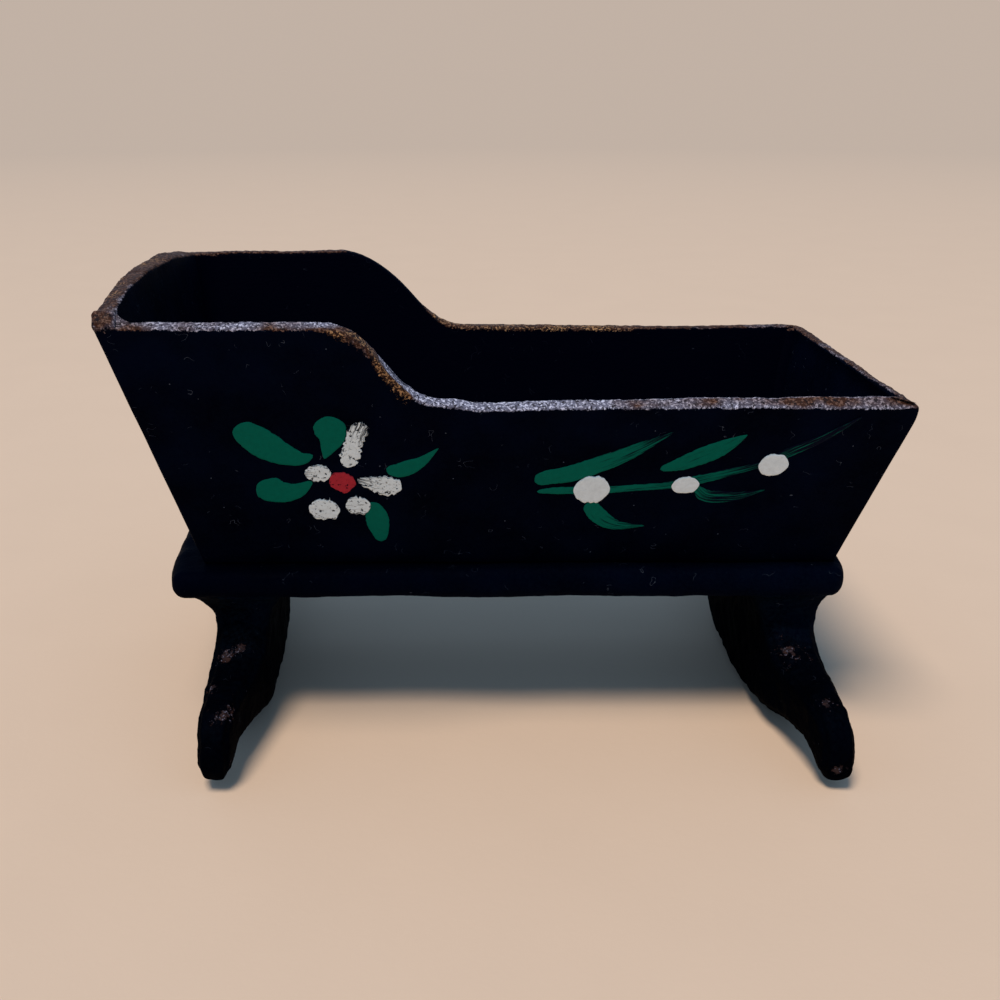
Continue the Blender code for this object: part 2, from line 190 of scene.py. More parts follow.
class CradleColours(bpy.types.PropertyGroup):
    """Colours of the paints, the wood and the stage."""

    enamel: colour("Enamel", "Blue-black enamel", (0.0001, 0.0004, 0.0036))
    # Painted light: the lit enamel is the lighter colour painted on the faces that light falls on; the
    # same colour also shows in the rims' hollows and where strokes are thin.
    lit_enamel: colour("Enamel bloom", "Enamel where it is rubbed or dusty", (0.0007, 0.0022, 0.0110))
    # The film is a dusty film and also painted light: the enamel shows it only where the painted light
    # attribute is high.
    film: colour("Film", "Dusty film on the rough parts of the enamel", (0.0030, 0.0090, 0.0170))
    # Painted shade: the rockers' enamel is set darker than the boards'.
    shaded_rocker_enamel: colour("Rocker enamel", "Darker enamel on the rockers", (0.0002, 0.0003, 0.0012))
    wood: colour("Wood", "Bare wood along the rims", (0.042, 0.017, 0.011))
    wood_pale: colour("Pale wood", "Fibres that stand up from the bare wood", (0.160, 0.088, 0.066))
    wood_fresh: colour("Fresh wood", "Fibres where it is freshly rubbed", (0.480, 0.270, 0.130))
    wood_dark: colour("Dark wood", "Bare wood with paint left in its grain", (0.012, 0.009, 0.012))
    # Painted highlights: the sheen is a silvery reflection painted into the rims' colour, and the glints
    # are the bright fibres that it picks out.
    painted_sheen: colour("Sheen", "Silvery sheen along the rims' edges", (0.145, 0.150, 0.220))
    painted_glint: colour("Glint", "Fibres that the sheen picks out", (0.640, 0.660, 0.850))
    chip: colour("Chip", "Bare wood in the rockers' chips", (0.040, 0.023, 0.023))
    dust: colour("Dust", "Dust and fine scratches", (0.110, 0.130, 0.170))
    leaf: colour("Leaf", "Green of the leaves and the stem", (0.0004, 0.135, 0.092))
    petal: colour("Petal", "Off-white of the petals and berries", (0.860, 0.960, 1.000))
    heart: colour("Heart", "Red of the flower's heart", (0.470, 0.030, 0.046))
    steel: colour("Steel", "Drawn wire of the pins", (0.450, 0.440, 0.420))
    floor: colour("Floor", "Pale floor", (0.780, 0.600, 0.470))
    # Painted shade: the floor turns to this darker colour far away.
    far_floor_shade: colour("Haze", "Pale floor far away", (0.600, 0.485, 0.400))
    key: colour("Key", "Light of the key lamp", (1.0, 0.86, 0.70))
    back: colour("Back", "Light of the lamp behind", (0.80, 0.90, 1.0))
    sky: colour("Sky", "Even light all round", (0.42, 0.68, 1.0))


class CradleStage(bpy.types.PropertyGroup):
    """The floor, the lamps and the camera."""

    floor_radius: length("Floor radius", "Radius of the floor", 12.0)
    far_floor_shade_reach: length("Haze reach", "How far away the floor has its far colour", 0.9)
    key_power: number("Key power", "Strength of the key lamp", 2.36)
    key_spread: lean("Key spread", "Angle that the key lamp spreads over", 20.0)
    back_power: number("Back power", "Strength of the lamp behind", 0.08)
    back_spread: lean("Back spread", "Angle that the lamp behind spreads over", 70.0)
    sky_power: number("Sky power", "Strength of the even light all round", 0.44)
    camera_yaw: lean("Camera yaw", "Turn of the camera to the right", -0.30)
    camera_pitch: lean("Camera pitch", "Tilt of the camera downwards", 19.0)
    camera_roll: lean("Camera roll", "Roll of the camera to the left", -0.36)
    camera_lens: number("Camera lens", "Focal length in millimetres", 41.52)


# Where the lamps and the camera are, and the part of the picture by which its axis is shifted
KEY_PLACE = (-0.20, -0.31, 0.93)
BACK_PLACE = (-0.25, 0.80, 0.55)
CAMERA_PLACE = (-0.00917, -0.12194, 0.0683)
CAMERA_SHIFT = (0.0906, -0.0396)

# Lengths over which the boards and the rockers are out of true, and the seeds of that
SIDE_WAVE = 0.009
END_WAVE = 0.007
PLANK_EDGE_WAVE = 0.008
PLANK_FACE_WAVE = 0.006
SIDE_SEED = 3
END_SEED = 7
PLANK_EDGE_SEED = 21
PLANK_FACE_SEED = 24
FACE_CLOUDS = 0.006
RIM_CLOUDS = 0.0006
PLANK_CLOUDS = 0.0022
ROCKER_CLOUDS = 0.0045
LUMP_CLOUDS = 0.0012

# How the boards are divided: steps over a rounded edge, depth and height of a face as multiples of
# the cell, how much smaller it gets towards the rim, and length and width of a face on the plank
ROUND_STEPS = 4
DEPTH_CELL = 2.0
HEIGHT_CELL = 2.6
RIM_CROWD = 1.6
PLANK_LENGTH_CELL = 1.2
PLANK_WIDTH_CELL = 1.6

# The power of its height by which the foot board thins towards its rim
THIN_POWER = 6

# Brush strokes: steps from point to point, faces across, the least width of their tips as a share
# of the whole one, and the sizes of their ragged edges and of the ridges that the hairs leave
STROKE_STEPS = 10
STROKE_CELLS = 16
STROKE_TIP = 0.02
STROKE_RAGS = 0.0003
RIDGE_LENGTH = 0.003
RIDGE_WIDTH = 0.00018
RIDGE_SEED = 1000

# How high a stroke's edge is over the coats below it, how high its middle and its ridges are over
# that, and how much thicker than those coats it is, as multiples of the stroke height
STROKE_EDGE = 0.55
STROKE_CROWN = 0.45
STROKE_RIDGE = 0.3
STROKE_ROOT = 2.2

# The rockers: levels of a root, how narrow the toes get, the distance at which points count as
# one, rounds of smoothing, and the painted light on the toes
ROOT_LEVELS = 8
TOE_NARROWING = 0.36
SAME_PLACE = 0.000001
CARVED_SMOOTHING = 14
ROOT_SMOOTHING = 50
TOE_LIGHT = 0.15

# The wear of chips and of the flecks round them: how far each reaches, as a multiple of the chip's
# radius, how fast it falls off, and its most. A noise makes the chips' edges ragged. The wear of
# lumps grows with how far they stand out, up to its most.
CHIP_REACH = 1.3
CHIP_FALL = 0.9
CHIP_WEAR = 0.8
CHIP_RAGGED = 0.5
CHIP_RAGS = 0.0004
FLECK_REACH = 4.0
FLECK_FALL = 0.4
FLECK_WEAR = 0.3
LUMP_FALL = 3
LUMP_WEAR = 0.22

# The base plank: how near its ends it bulges, how much its edges are rubbed and over how much of
# their rounding, and the painted light on its middle and how it changes from there to its ends
BULGE_POWER = 12
PLANK_WEAR = 0.27
PLANK_WEAR_REACH = 1.5
PLANK_LIGHT = 0.55
PLANK_LIGHT_RISE = 0.35

# The strips of paint in the tub's corners: how they are divided, how far down from the rim they
# are rubbed as a share of the wear width, and the tone of the one at the front of the head end
FILLET_CELLS = 12
STRIP_CELLS = 60
RIM_CROWD_POWER = 1.8
FRONT_CORNER_WEAR = 1.2
BACK_CORNER_WEAR = 0.4
HEAD_CORNER_TONE = -0.3

# How much more painted shade the end boards have inside than outside, how much further than their
# wear the rims are rough, and how soon the rockers' painted light is full where they turn to the front
INNER_SHADE = 0.2
ROUGH_REACH = 1.5
FACING_RISE = 1.5

# The parts of a rim's thickness that its outer and its inner edge take up
OUTER_EDGE = 0.35
INNER_EDGE = 0.30

# How far the enamels' brushing is stretched along X, Y and Z
BOARD_BRUSHING = (55.0, 900.0, 900.0)
PLANK_BRUSHING = (70.0, 700.0, 700.0)
ROCKER_BRUSHING = (500.0, 160.0, 500.0)

# Depths of the enamels' brush marks and lumps
BOARD_DEPTHS = (0.00003, 0.00002)
PLANK_DEPTHS = (0.00005, 0.00005)
ROCKER_DEPTHS = (0.00006, 0.00008)

# Depths of worn places, of the brush strokes' hair marks and pits, and of the grain of wire and
# floor
WEAR_DEPTH = 0.00006
HAIR_DEPTH = 0.00003
PIT_DEPTH = 0.00004
WIRE_DEPTH = 0.00001
FLOOR_DEPTH = 0.00002

# Scales of the patterns in the finishes, as waves to the metre: the fine grain of paint and wood,
# the wood's fibres and mottling, the paint's patches, gloss, specks, dashes, hairlines, lumps and
# pits, the large and the small rags of its worn edges, the chips' patches and grain, the brush
# strokes' hair marks, flecks, shades and pits, the wire's and the floor's
FINE_GRAIN = 2400
FIBRE_GRAIN = 3800
WOOD_MOTTLE = 380
PAINT_PATCHES = 120
PAINT_GLOSS = 260
PAINT_SPECKS = 1300
PAINT_DASHES = (520.0, 1100.0, 1100.0)
PAINT_HAIRS = 760
PAINT_LUMPS = 900
PAINT_PITS = 3000
LARGE_RAGS = 420
SMALL_RAGS = 2600
CHIP_PATCHES = 400
CHIP_GRAIN = (1500.0, 6200.0, 3200.0)
STROKE_HAIRS = (220.0, 5200.0, 0.0)
STROKE_FLECKS = 2300
STROKE_SHADES = 2200
STROKE_PITS = 1800
WIRE_GRAIN = 6000
WIRE_DULLNESS = 1500
FLOOR_MOTTLE = 60
FLOOR_GRAIN = 900

# Brush strokes as points (along the board, up the board, half width), in motif units.
# The flower's points are measured from its heart, the sprig's from the low end of its stem.
FLOWER_PLACE = (-0.0163, 0.0113)
SPRIG_PLACE = (0.0030, 0.0101)
FLOWER_LEAVES = (
    ((-1.02, 0.70, 0.13), (-0.88, 0.64, 0.155), (-0.73, 0.50, 0.170), (-0.56, 0.385, 0.135),
     (-0.40, 0.335, 0.085), (-0.28, 0.375, 0.02)),
    ((-0.85, 0.00, 0.12), (-0.74, -0.07, 0.165), (-0.61, -0.115, 0.140), (-0.46, -0.09, 0.095),
     (-0.31, 0.03, 0.02)),
    ((-0.12, 0.86, 0.12), (-0.10, 0.71, 0.155), (-0.09, 0.58, 0.125), (-0.13, 0.45, 0.070),
     (-0.17, 0.33, 0.01)),
    ((0.43, 0.19, 0.05), (0.55, 0.17, 0.090), (0.67, 0.22, 0.090), (0.79, 0.30, 0.055),
     (0.94, 0.46, 0.006)),
    ((0.27, -0.26, 0.05), (0.31, -0.41, 0.105), (0.33, -0.56, 0.115), (0.35, -0.70, 0.085),
     (0.36, -0.82, 0.045)),
)
FLOWER_PETALS = (
    ((0.05, 0.22, 0.05), (0.08, 0.36, 0.095), (0.12, 0.53, 0.088), (0.17, 0.67, 0.095),
     (0.21, 0.79, 0.080)),
    ((-0.375, 0.15, 0.10), (-0.28, 0.145, 0.110), (-0.20, 0.14, 0.105), (-0.115, 0.135, 0.08)),
    ((-0.36, -0.31, 0.11), (-0.25, -0.34, 0.135), (-0.16, -0.365, 0.140), (-0.05, -0.36, 0.09)),
    ((0.01, -0.31, 0.10), (0.09, -0.305, 0.120), (0.17, -0.30, 0.120), (0.26, -0.28, 0.09)),
    ((0.14, 0.06, 0.03), (0.29, 0.00, 0.095), (0.42, -0.03, 0.130), (0.52, -0.06, 0.095),
     (0.575, -0.08, 0.05)),
)
FLOWER_HEART = (
    ((-0.13, -0.02, 0.09), (-0.05, 0.01, 0.125), (0.04, 0.01, 0.120), (0.125, 0.00, 0.08)),
)
SPRIG_STEM = (
    ((0.00, 0.00, 0.02), (0.20, 0.01, 0.045), (0.71, 0.02, 0.042), (1.03, 0.05, 0.042),
     (1.32, 0.08, 0.045), (1.60, 0.155, 0.058), (1.88, 0.25, 0.055), (2.14, 0.34, 0.038),
     (2.40, 0.50, 0.060), (2.72, 0.71, 0.045), (3.00, 0.95, 0.010)),
)
SPRIG_LEAVES = (
    ((-0.03, 0.13, 0.07), (0.10, 0.19, 0.095), (0.30, 0.23, 0.105), (0.53, 0.33, 0.105),
     (0.75, 0.44, 0.095), (0.96, 0.57, 0.070), (1.10, 0.665, 0.040), (1.25, 0.77, 0.006)),
    ((1.19, 0.29, 0.03), (1.38, 0.36, 0.085), (1.57, 0.46, 0.105), (1.74, 0.56, 0.095),
     (1.86, 0.65, 0.055), (1.96, 0.73, 0.008)),
    ((0.52, -0.16, 0.07), (0.62, -0.31, 0.095), (0.74, -0.43, 0.085), (0.89, -0.49, 0.055),
     (1.13, -0.49, 0.008)),
    ((1.56, 0.06, 0.03), (1.70, -0.07, 0.080), (1.90, -0.085, 0.075), (2.08, -0.06, 0.045),
     (2.27, 0.01, 0.006)),
)
SPRIG_BERRIES = (
    ((0.36, 0.03, 0.13), (0.47, 0.025, 0.170), (0.60, 0.025, 0.175), (0.72, 0.02, 0.13)),
    ((1.33, 0.07, 0.07), (1.42, 0.075, 0.100), (1.51, 0.085, 0.105), (1.60, 0.095, 0.07)),
    ((2.14, 0.345, 0.10), (2.23, 0.345, 0.135), (2.33, 0.345, 0.135), (2.43, 0.34, 0.10)),
)

# The strokes' paints: how rare the flecks in them are, how streaky they get where they are dry, and
# how rough they are. The dryness of strokes runs from the first number to the second.
LEAF_PAINT = {"flecks": 0.72, "streaks": 0.30, "roughness": 0.45}
PETAL_PAINT = {"flecks": 0.57, "streaks": 0.45, "roughness": 0.60}
HEART_PAINT = {"flecks": 0.60, "streaks": 0.30, "roughness": 0.50}
SPRIG_PAINT = {"flecks": 0.72, "streaks": 0.50, "roughness": 0.45}
BERRY_PAINT = {"flecks": 0.72, "streaks": 0.20, "roughness": 0.60}
PETAL_DRYNESS = ((0.2, 0.7), (0.7, 0.1), (0.3, 0.1), (0.6, 0.2), (0.8, 0.2))
STEM_DRYNESS = ((0.2, 1.0),)
SPRIG_DRYNESS = ((0.0, 0.8), (0.3, 0.4), (0.1, 0.8), (0.6, 0.9))

# The rims, at places along X on the side boards and along Y on the end boards: how far the inner
# edge stands above the outer one, how far down the face is rubbed as a share of the wear width,
# and the tones of the outer edge, the middle and the inner edge. A tone is 1 for freshly rubbed
# wood, 0 for brown wood, -1 for a painted silvery sheen, which is a painted highlight, and -2 for
# paint left in the hollows.
FRONT_RIM = (
    (-0.0380, 0.00045, 0.80, -0.2, -0.1, -0.5),
    (-0.0350, 0.00045, 0.40, -0.3, -0.3, -0.7),
    (-0.0250, 0.00045, 0.45, -0.5, -0.6, -0.6),
    (-0.0190, 0.00045, 0.45, 0.0, -0.4, -0.7),
    (-0.0176, 0.00045, 0.90, 0.6, -0.9, -1.3),
    (-0.0166, 0.00045, 1.60, 0.9, -0.6, -1.3),
    (-0.0155, 0.00045, 1.60, -0.4, 0.7, -1.3),
    (-0.0142, 0.00045, 1.80, -0.2, 0.9, -1.2),
    (-0.0134, 0.00045, 2.60, 0.9, 0.4, -1.2),
    (-0.0124, 0.00045, 3.20, 1.0, -2.4, -1.1),
    (-0.0114, 0.00040, 2.60, 1.0, -2.4, -1.0),
    (-0.0108, 0.00040, 1.60, 0.8, -2.0, -1.0),
    (-0.0103, 0.00040, 0.70, -1.0, -1.3, -1.1),
    (-0.0050, 0.00045, 0.50, -0.9, -1.0, -1.1),
    (0.0030, 0.00050, 0.40, -0.9, -1.0, -1.0),
    (0.0110, 0.00060, 0.40, -0.7, -0.3, -0.8),
    (0.0180, 0.00080, 0.40, -0.7, -0.2, -0.8),
    (0.0246, 0.00060, 0.40, -0.7, -0.1, -0.8),
    (0.0282, 0.00090, 0.40, -0.6, -0.1, -0.7),
    (0.0344, 0.00095, 0.40, -0.5, 0.0, -0.6),
    (0.0379, 0.00070, 0.35, -0.4, 0.0, -0.4),
)
BACK_RIM = (
    (-0.0380, 0.0, 0.30, 0.0, 0.0, 0.0), (-0.0190, 0.0, 0.30, 0.0, 0.0, 0.0),
    (-0.0172, 0.0, 0.05, 0.0, 0.0, 0.0), (-0.0092, 0.0, 0.05, 0.0, 0.0, 0.0),
    (-0.0078, 0.0, 0.70, 0.4, 0.4, 0.4), (0.0160, 0.0, 0.70, 0.4, 0.4, 0.4),
    (0.0190, 0.0, 0.25, 0.0, 0.0, 0.0), (0.0380, 0.0, 0.25, -0.2, -0.2, -0.3),
)
HEAD_RIM = (
    (-0.0210, 0.00045, 2.00, 0.0, 0.0, -0.4), (-0.0198, 0.00045, 1.60, 0.1, 0.1, -0.4),
    (-0.0188, 0.00045, 0.60, 0.2, 0.25, -0.4), (-0.0150, 0.00045, 0.60, 0.25, 0.25, -0.4),
    (-0.0080, 0.00015, 0.60, 0.25, 0.25, 0.0), (0.0000, -0.00015, 0.60, 0.2, 0.2, 0.1),
    (0.0080, -0.00035, 0.50, 0.1, 0.1, 0.0), (0.0160, -0.00035, 0.40, -0.1, 0.0, 0.0),
    (0.0210, -0.00020, 0.30, 0.0, 0.0, 0.0),
)
FOOT_RIM = (
    (-0.0170, 0.00060, 0.9, -0.3, 0.0, -0.3), (-0.0120, 0.00050, 0.8, -0.3, -0.1, -0.4),
    (0.0000, 0.00030, 0.6, -0.3, 0.0, -0.3), (0.0120, 0.00010, 0.4, -0.2, -0.1, -0.2),
    (0.0170, 0.0, 0.4, 0.0, 0.0, 0.0),
)

# Chips of bare wood on the rockers: place and radius
HEAD_ROCKER_CHIPS = (
    ((-0.0292, -0.0138, 0.0092), 0.0009),
    ((-0.0278, -0.0131, 0.0099), 0.0005),
    ((-0.0283, -0.0224, 0.0074), 0.0009),
    ((-0.0303, -0.0185, 0.0084), 0.0007),
    ((-0.0270, -0.0240, 0.0030), 0.0004),
)
FOOT_ROCKER_CHIPS = (
    ((0.0300, -0.0134, 0.0096), 0.0010),
    ((0.0305, -0.0141, 0.0085), 0.0010),
    ((0.0315, -0.0212, 0.0079), 0.0006),
    ((0.0320, -0.0251, 0.0026), 0.0006),
)


# Mesh tools

def deselect():
    bpy.ops.object.select_all(action="DESELECT")


def take(thing):
    """Make one object the selected and active one."""
    deselect()
    thing.select_set(True)
    bpy.context.view_layer.objects.active = thing


def edit(operation, **settings):
    """Run one mesh operator on all of the active object."""
    bpy.ops.object.mode_set(mode="EDIT")
    bpy.ops.mesh.select_all(action="SELECT")
    operation(**settings)
    bpy.ops.object.mode_set(mode="OBJECT")


def modify(thing, kind, **settings):
    """Add a modifier with these settings to an object and apply it."""
    take(thing)
    bpy.ops.object.modifier_add(type=kind)
    modifier = thing.modifiers[-1]
    for name, value in settings.items():
        setattr(modifier, name, value)
    bpy.ops.object.modifier_apply(modifier=modifier.name)


def displace(thing, name, size, depth, strength, middle, **settings):
    """Move a surface in and out by clouds of that size and depth, whose middle leaves it alone."""
    texture = bpy.data.textures.new(name, "CLOUDS")
    texture.noise_scale = size
    texture.noise_depth = depth
    modify(
        thing, "DISPLACE", texture=texture, texture_coords="LOCAL", strength=strength,
        mid_level=middle, **settings,
    )


def stations(reach, rounding, cell, crowd=1.0):
    """Distances from 0 to reach: fine steps over both rounded ends, cells of about one size
    between, and with crowd above 1 cells that shrink towards the far end."""
    fine = [rounding * step / ROUND_STEPS for step in range(ROUND_STEPS)]
    inner = reach - 2 * rounding
    count = max(1, round(inner / cell))
    middle = [reach - rounding - inner * (1 - step / count) ** crowd for step in range(count + 1)]
    return fine + middle + [reach - distance for distance in reversed(fine)]


def grid(along, across):
    """A flat grid with that many cells along X and Y, one unit wide."""
    deselect()
    bpy.ops.mesh.primitive_grid_add(x_subdivisions=along, y_subdivisions=across, size=1)
    return bpy.context.object


def block(name, along, across, up):
    """A closed block with vertices at these distances along X, Y and Z, from a grid that is
    extruded one layer at a time."""
    thing = grid(len(along) - 1, len(across) - 1)
    thing.name = name
    bpy.ops.object.mode_set(mode="EDIT")
    bpy.ops.mesh.select_all(action="SELECT")
    for _ in up[1:]:
        bpy.ops.mesh.extrude_region_move(TRANSFORM_OT_translate={"value": (0, 0, 1)})
    bpy.ops.object.mode_set(mode="OBJECT")
    for vertex in thing.data.vertices:
        x = round((vertex.co.x + 0.5) * (len(along) - 1))
        y = round((vertex.co.y + 0.5) * (len(across) - 1))
        z = round(vertex.co.z)
        vertex.co = (along[x], across[y], up[z])
    return thing


def clamp(value, least=0, most=1):
    return min(max(value, least), most)


def round_off(point, size, radius):
    """Pull a point of a block's surface onto edges of that radius."""
    core = Vector([clamp(value, radius, reach - radius) for value, reach in zip(point, size)])
    out = point - core
    return core + out.normalized() * radius if out.length > 0 else point.copy()


def store(mesh, name, values):
    """Keep one number for each vertex, which the materials read."""
    attribute = mesh.attributes.new(name, "FLOAT", "POINT")
    attribute.data.foreach_set("value", values)


def hold_inside(thing):
    """Keep a piece inside the frame's box."""
    low, high = cad_box
    for vertex in thing.data.vertices:
        vertex.co = [clamp(*limits) for limits in zip(vertex.co, low, high)]


def hand_over(thing, slot, finish, *nodes):
    """Close a piece's making: outward faces, smooth shading, its finish and its place on the frame."""
    take(thing)
    edit(bpy.ops.mesh.normals_make_consistent, inside=False)
    bpy.ops.object.shade_smooth()
    hold_inside(thing)
    thing.data.materials.clear()
    thing.data.materials.append(finish)
    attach(thing, "root")
    if nodes:
        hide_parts(*nodes)


def waver(place, size, seed):
    """A smooth random number from -1 to 1 that changes over about that size."""
    return noise.noise(Vector((place / size, seed, 0.5)))


def smooth_run(points, steps):
    """A smooth curve through the points, with that many steps to each stretch."""
    knots = [2 * points[0] - points[1], *points, 2 * points[-1] - points[-2]]
    run = []
    for before, start, end, after in zip(knots, knots[1:], knots[2:], knots[3:]):
        leave = start + (end - before) / 6
        arrive = end - (after - start) / 6
        run += interpolate_bezier(start, leave, arrive, end, steps + 1)[:-1]
    return run + [points[-1]]


# The tub's shape

class Tub:
    """Where the tub's planes and rims are, worked out from its driving sizes and the frame."""

    def __init__(self, sizes):
        self.sizes = sizes
        self.bottom = tub_bottom
        self.gap = tub_bottom - base_high.z
        self.half = sizes.floor_width / 2
        self.side_slope = math.tan(sizes.side_lean)
        self.head_slope = math.tan(sizes.head_lean)
        self.foot_slope = math.tan(sizes.foot_lean)
        self.inward = sizes.side_wall / math.cos(sizes.side_lean)
        head_reach = (sizes.head_height + sizes.crown_rise) * self.head_slope
        foot_reach = (sizes.foot_height + sizes.side_wall * math.sin(sizes.side_lean)) * self.foot_slope
        self.head = (head_reach - foot_reach - sizes.floor_length) / 2
        self.foot = self.head + sizes.floor_length
        self.rim_head = self.head - sizes.head_height * self.head_slope

    def head_x(self, height):
        return self.head - height * self.head_slope

    def foot_x(self, height):
        below = clamp((self.sizes.foot_height - height) / self.sizes.belly_reach)
        return self.foot + height * self.foot_slope + self.sizes.foot_belly * below * (2 - below)

    def end_x(self, height, end):
        """X of an end panel's outer face: -1 is the head end, 1 the foot end."""
        return self.head_x(height) if end < 0 else self.foot_x(height)

    def along_x(self, height, along):
        """X at a share of the way from the head end to the foot end."""
        return self.head_x(height) + along * (self.foot_x(height) - self.head_x(height))

    def side_y(self, height):
        """How far a side's outer face is from the middle."""
        return self.half + height * self.side_slope

    def side_rim(self, x, side):
        """Height of a side's rim over the tub's bottom at x."""
        sizes = self.sizes
        if side < 0:
            start, reach, turn = sizes.front_step_start, sizes.front_step_length, sizes.front_turn
            tail, tail_reach = sizes.front_tail, sizes.front_tail_reach
        else:
            start, reach, turn = sizes.back_step_start, sizes.back_step_length, sizes.back_turn
            tail, tail_reach = sizes.back_tail, sizes.back_tail_reach
        gone = clamp((x - self.rim_head - start) / reach)
        fallen = gone ** 2 / turn if gone < turn else 1 - (1 - gone) ** 2 / (1 - turn)
        high = sizes.head_height + (sizes.back_rise if side > 0 else 0)
        height = high - fallen * (high - sizes.foot_height)
        height += tail * math.exp(-((x - self.rim_head - start - reach) / tail_reach) ** 2)
        if side < 0:
            height += sizes.corner_rise * max(1 - (x - self.rim_head) / sizes.corner_reach, 0) ** 2
        return height

    def side_rim_at(self, along, side):
        """Height of a side's rim at a share of the way from the head end to the foot end."""
        height = self.sizes.head_height
        for _ in range(6):
            height = self.side_rim(self.along_x(height, along), side)
        return height

    def arch(self, y):
        """Height of the head panel's arch over the tub's bottom at y."""
        sizes = self.sizes
        across = min(abs(y) / self.side_y(sizes.head_height), 1)
        spring = sizes.spring_rise if y < 0 else sizes.back_rise
        return sizes.head_height + spring + (sizes.crown_rise - spring) * (1 - across ** 2)

    def soften(self, x, y, height, inset=0.0):
        """Pull a point that lies outside one of the tub's rounded outer corners onto its curve."""
        end, side = math.copysign(1, x), math.copysign(1, y)
        sizes = self.sizes
        radius = sizes.sharp_corner
        if side > 0:
            rim = sizes.head_height if end < 0 else sizes.foot_height
            near = clamp(1 - (rim - height) / sizes.corner_depth)
            full = sizes.head_corner if end < 0 else sizes.foot_corner
            radius += (full - radius) * near ** 2 * (3 - 2 * near)
        corner = self.end_x(height, end)
        centre = Vector((corner - end * radius, side * (self.side_y(height) - radius)))
        out = Vector((x, y)) - centre
        if end * out.x > 0 and side * out.y > 0 and out.length > radius - inset:
            return centre + out.normalized() * (radius - inset)
        return Vector((x, y))

    def on_front(self, along, up, out):
        """A point on the front side's outer face: along X, up the slope and out from the face."""
        cosine, sine = math.cos(self.sizes.side_lean), math.sin(self.sizes.side_lean)
        across = -self.half - up * sine - out * cosine
        return Vector((along, across, self.bottom + up * cosine - out * sine))


def read_off(place, table):
    """The numbers that a table gives for a place, worked out between its rows."""
    if place <= table[0][0]:
        return table[0][1:]
    for (start, *first), (end, *second) in zip(table, table[1:]):
        if place <= end:
            part = (place - start) / (end - start)
            return [one + (other - one) * part for one, other in zip(first, second)]
    return table[-1][1:]


def across_rim(depth, outer, middle, inner):
    """A rim's tone at that share of the way from its outer edge to its inner one."""
    near_outer = max(1 - depth / OUTER_EDGE, 0)
    near_inner = max(1 - (1 - depth) / INNER_EDGE, 0)
    return middle + (outer - middle) * near_outer + (inner - middle) * near_inner


def roughen_rim(thing, work, seed):
    """Roughen a board: gently all over, and more along its rim."""
    worn = [item.value for item in thing.data.attributes["wear"].data]
    group = thing.vertex_groups.new(name="rim")
    for index, wear in enumerate(worn):
        group.add([index], min(wear * ROUGH_REACH, 1), "REPLACE")
    displace(thing, "face_clouds" + str(seed), FACE_CLOUDS, 1, work.face_waver, 0.6)
    rough = work.rim_rough * 2
    displace(thing, "rim_clouds" + str(seed), RIM_CLOUDS, 2, rough, 0.6, vertex_group="rim")
    thing.vertex_groups.clear()


def board_block(name, size, work):
    """A block for a board of that size, with smaller faces towards its rim."""
    edge = work.board_round
    along = stations(size.x, edge, work.cell)
    across = stations(size.y, edge, work.cell * DEPTH_CELL)
    return block(name, along, across, stations(size.z, edge, work.cell * HEIGHT_CELL, crowd=RIM_CROWD))


def hand_over_board(thing, node, marks, seed, work, finish):
    """Store a board's marks, which its enamel reads, roughen its rim and hand it over."""
    for name, values in marks.items():
        store(thing.data, name, values)
    roughen_rim(thing, work, seed)
    hand_over(thing, "painted_board", finish, node)


def side_board(name, node, side, tub, work, finish):
    """A side board, with the S-shaped step in its rim."""
    sizes = tub.sizes
    size = Vector((
        tub.foot_x(sizes.foot_height) - tub.rim_head,
        sizes.side_wall,
        sizes.head_height / math.cos(sizes.side_lean),
    ))
    thing = board_block(name, size, work)
    rims = {}
    marks = {"wear": [], "tone": [], "painted_light": []}
    for vertex in thing.data.vertices:
        point = round_off(vertex.co, size, work.board_round)
        along, depth, up = point.x / size.x, point.y / size.y, point.z / size.z
        key = round(along, 6)
        if key not in rims:
            rim = tub.side_rim_at(along, side)
            rims[key] = rim + work.rim_waver * waver(along * size.x, SIDE_WAVE, side * SIDE_SEED)
        to_end = min(along, 1 - along) * size.x / sizes.end_wall
        rim_x = tub.rim_head + along * size.x
        lift, reach, *edge_tones = read_off(rim_x, FRONT_RIM if side < 0 else BACK_RIM)
        top = rims[key] + min(depth, to_end) * lift
        height = up * (top + tub.gap) - tub.gap
        y = side * (tub.side_y(height) - depth * tub.inward)
        vertex.co = (*tub.soften(tub.along_x(height, along), y, height), tub.bottom + height)
        rubbed = depth if side > 0 else 1 - depth
        width = work.wear_width * (work.least_wear + (reach - work.least_wear) * rubbed)
        marks["wear"].append(max(1 - (top - height) / width, 0) * min(reach / work.least_wear, 1))
        marks["tone"].append(across_rim(depth, *edge_tones))
        # Painted light and shade: the outer face is painted lit, and the inner face stays in painted
        # shade.
        marks["painted_light"].append(1 - depth)
    hand_over_board(thing, node, marks, side, work, finish)


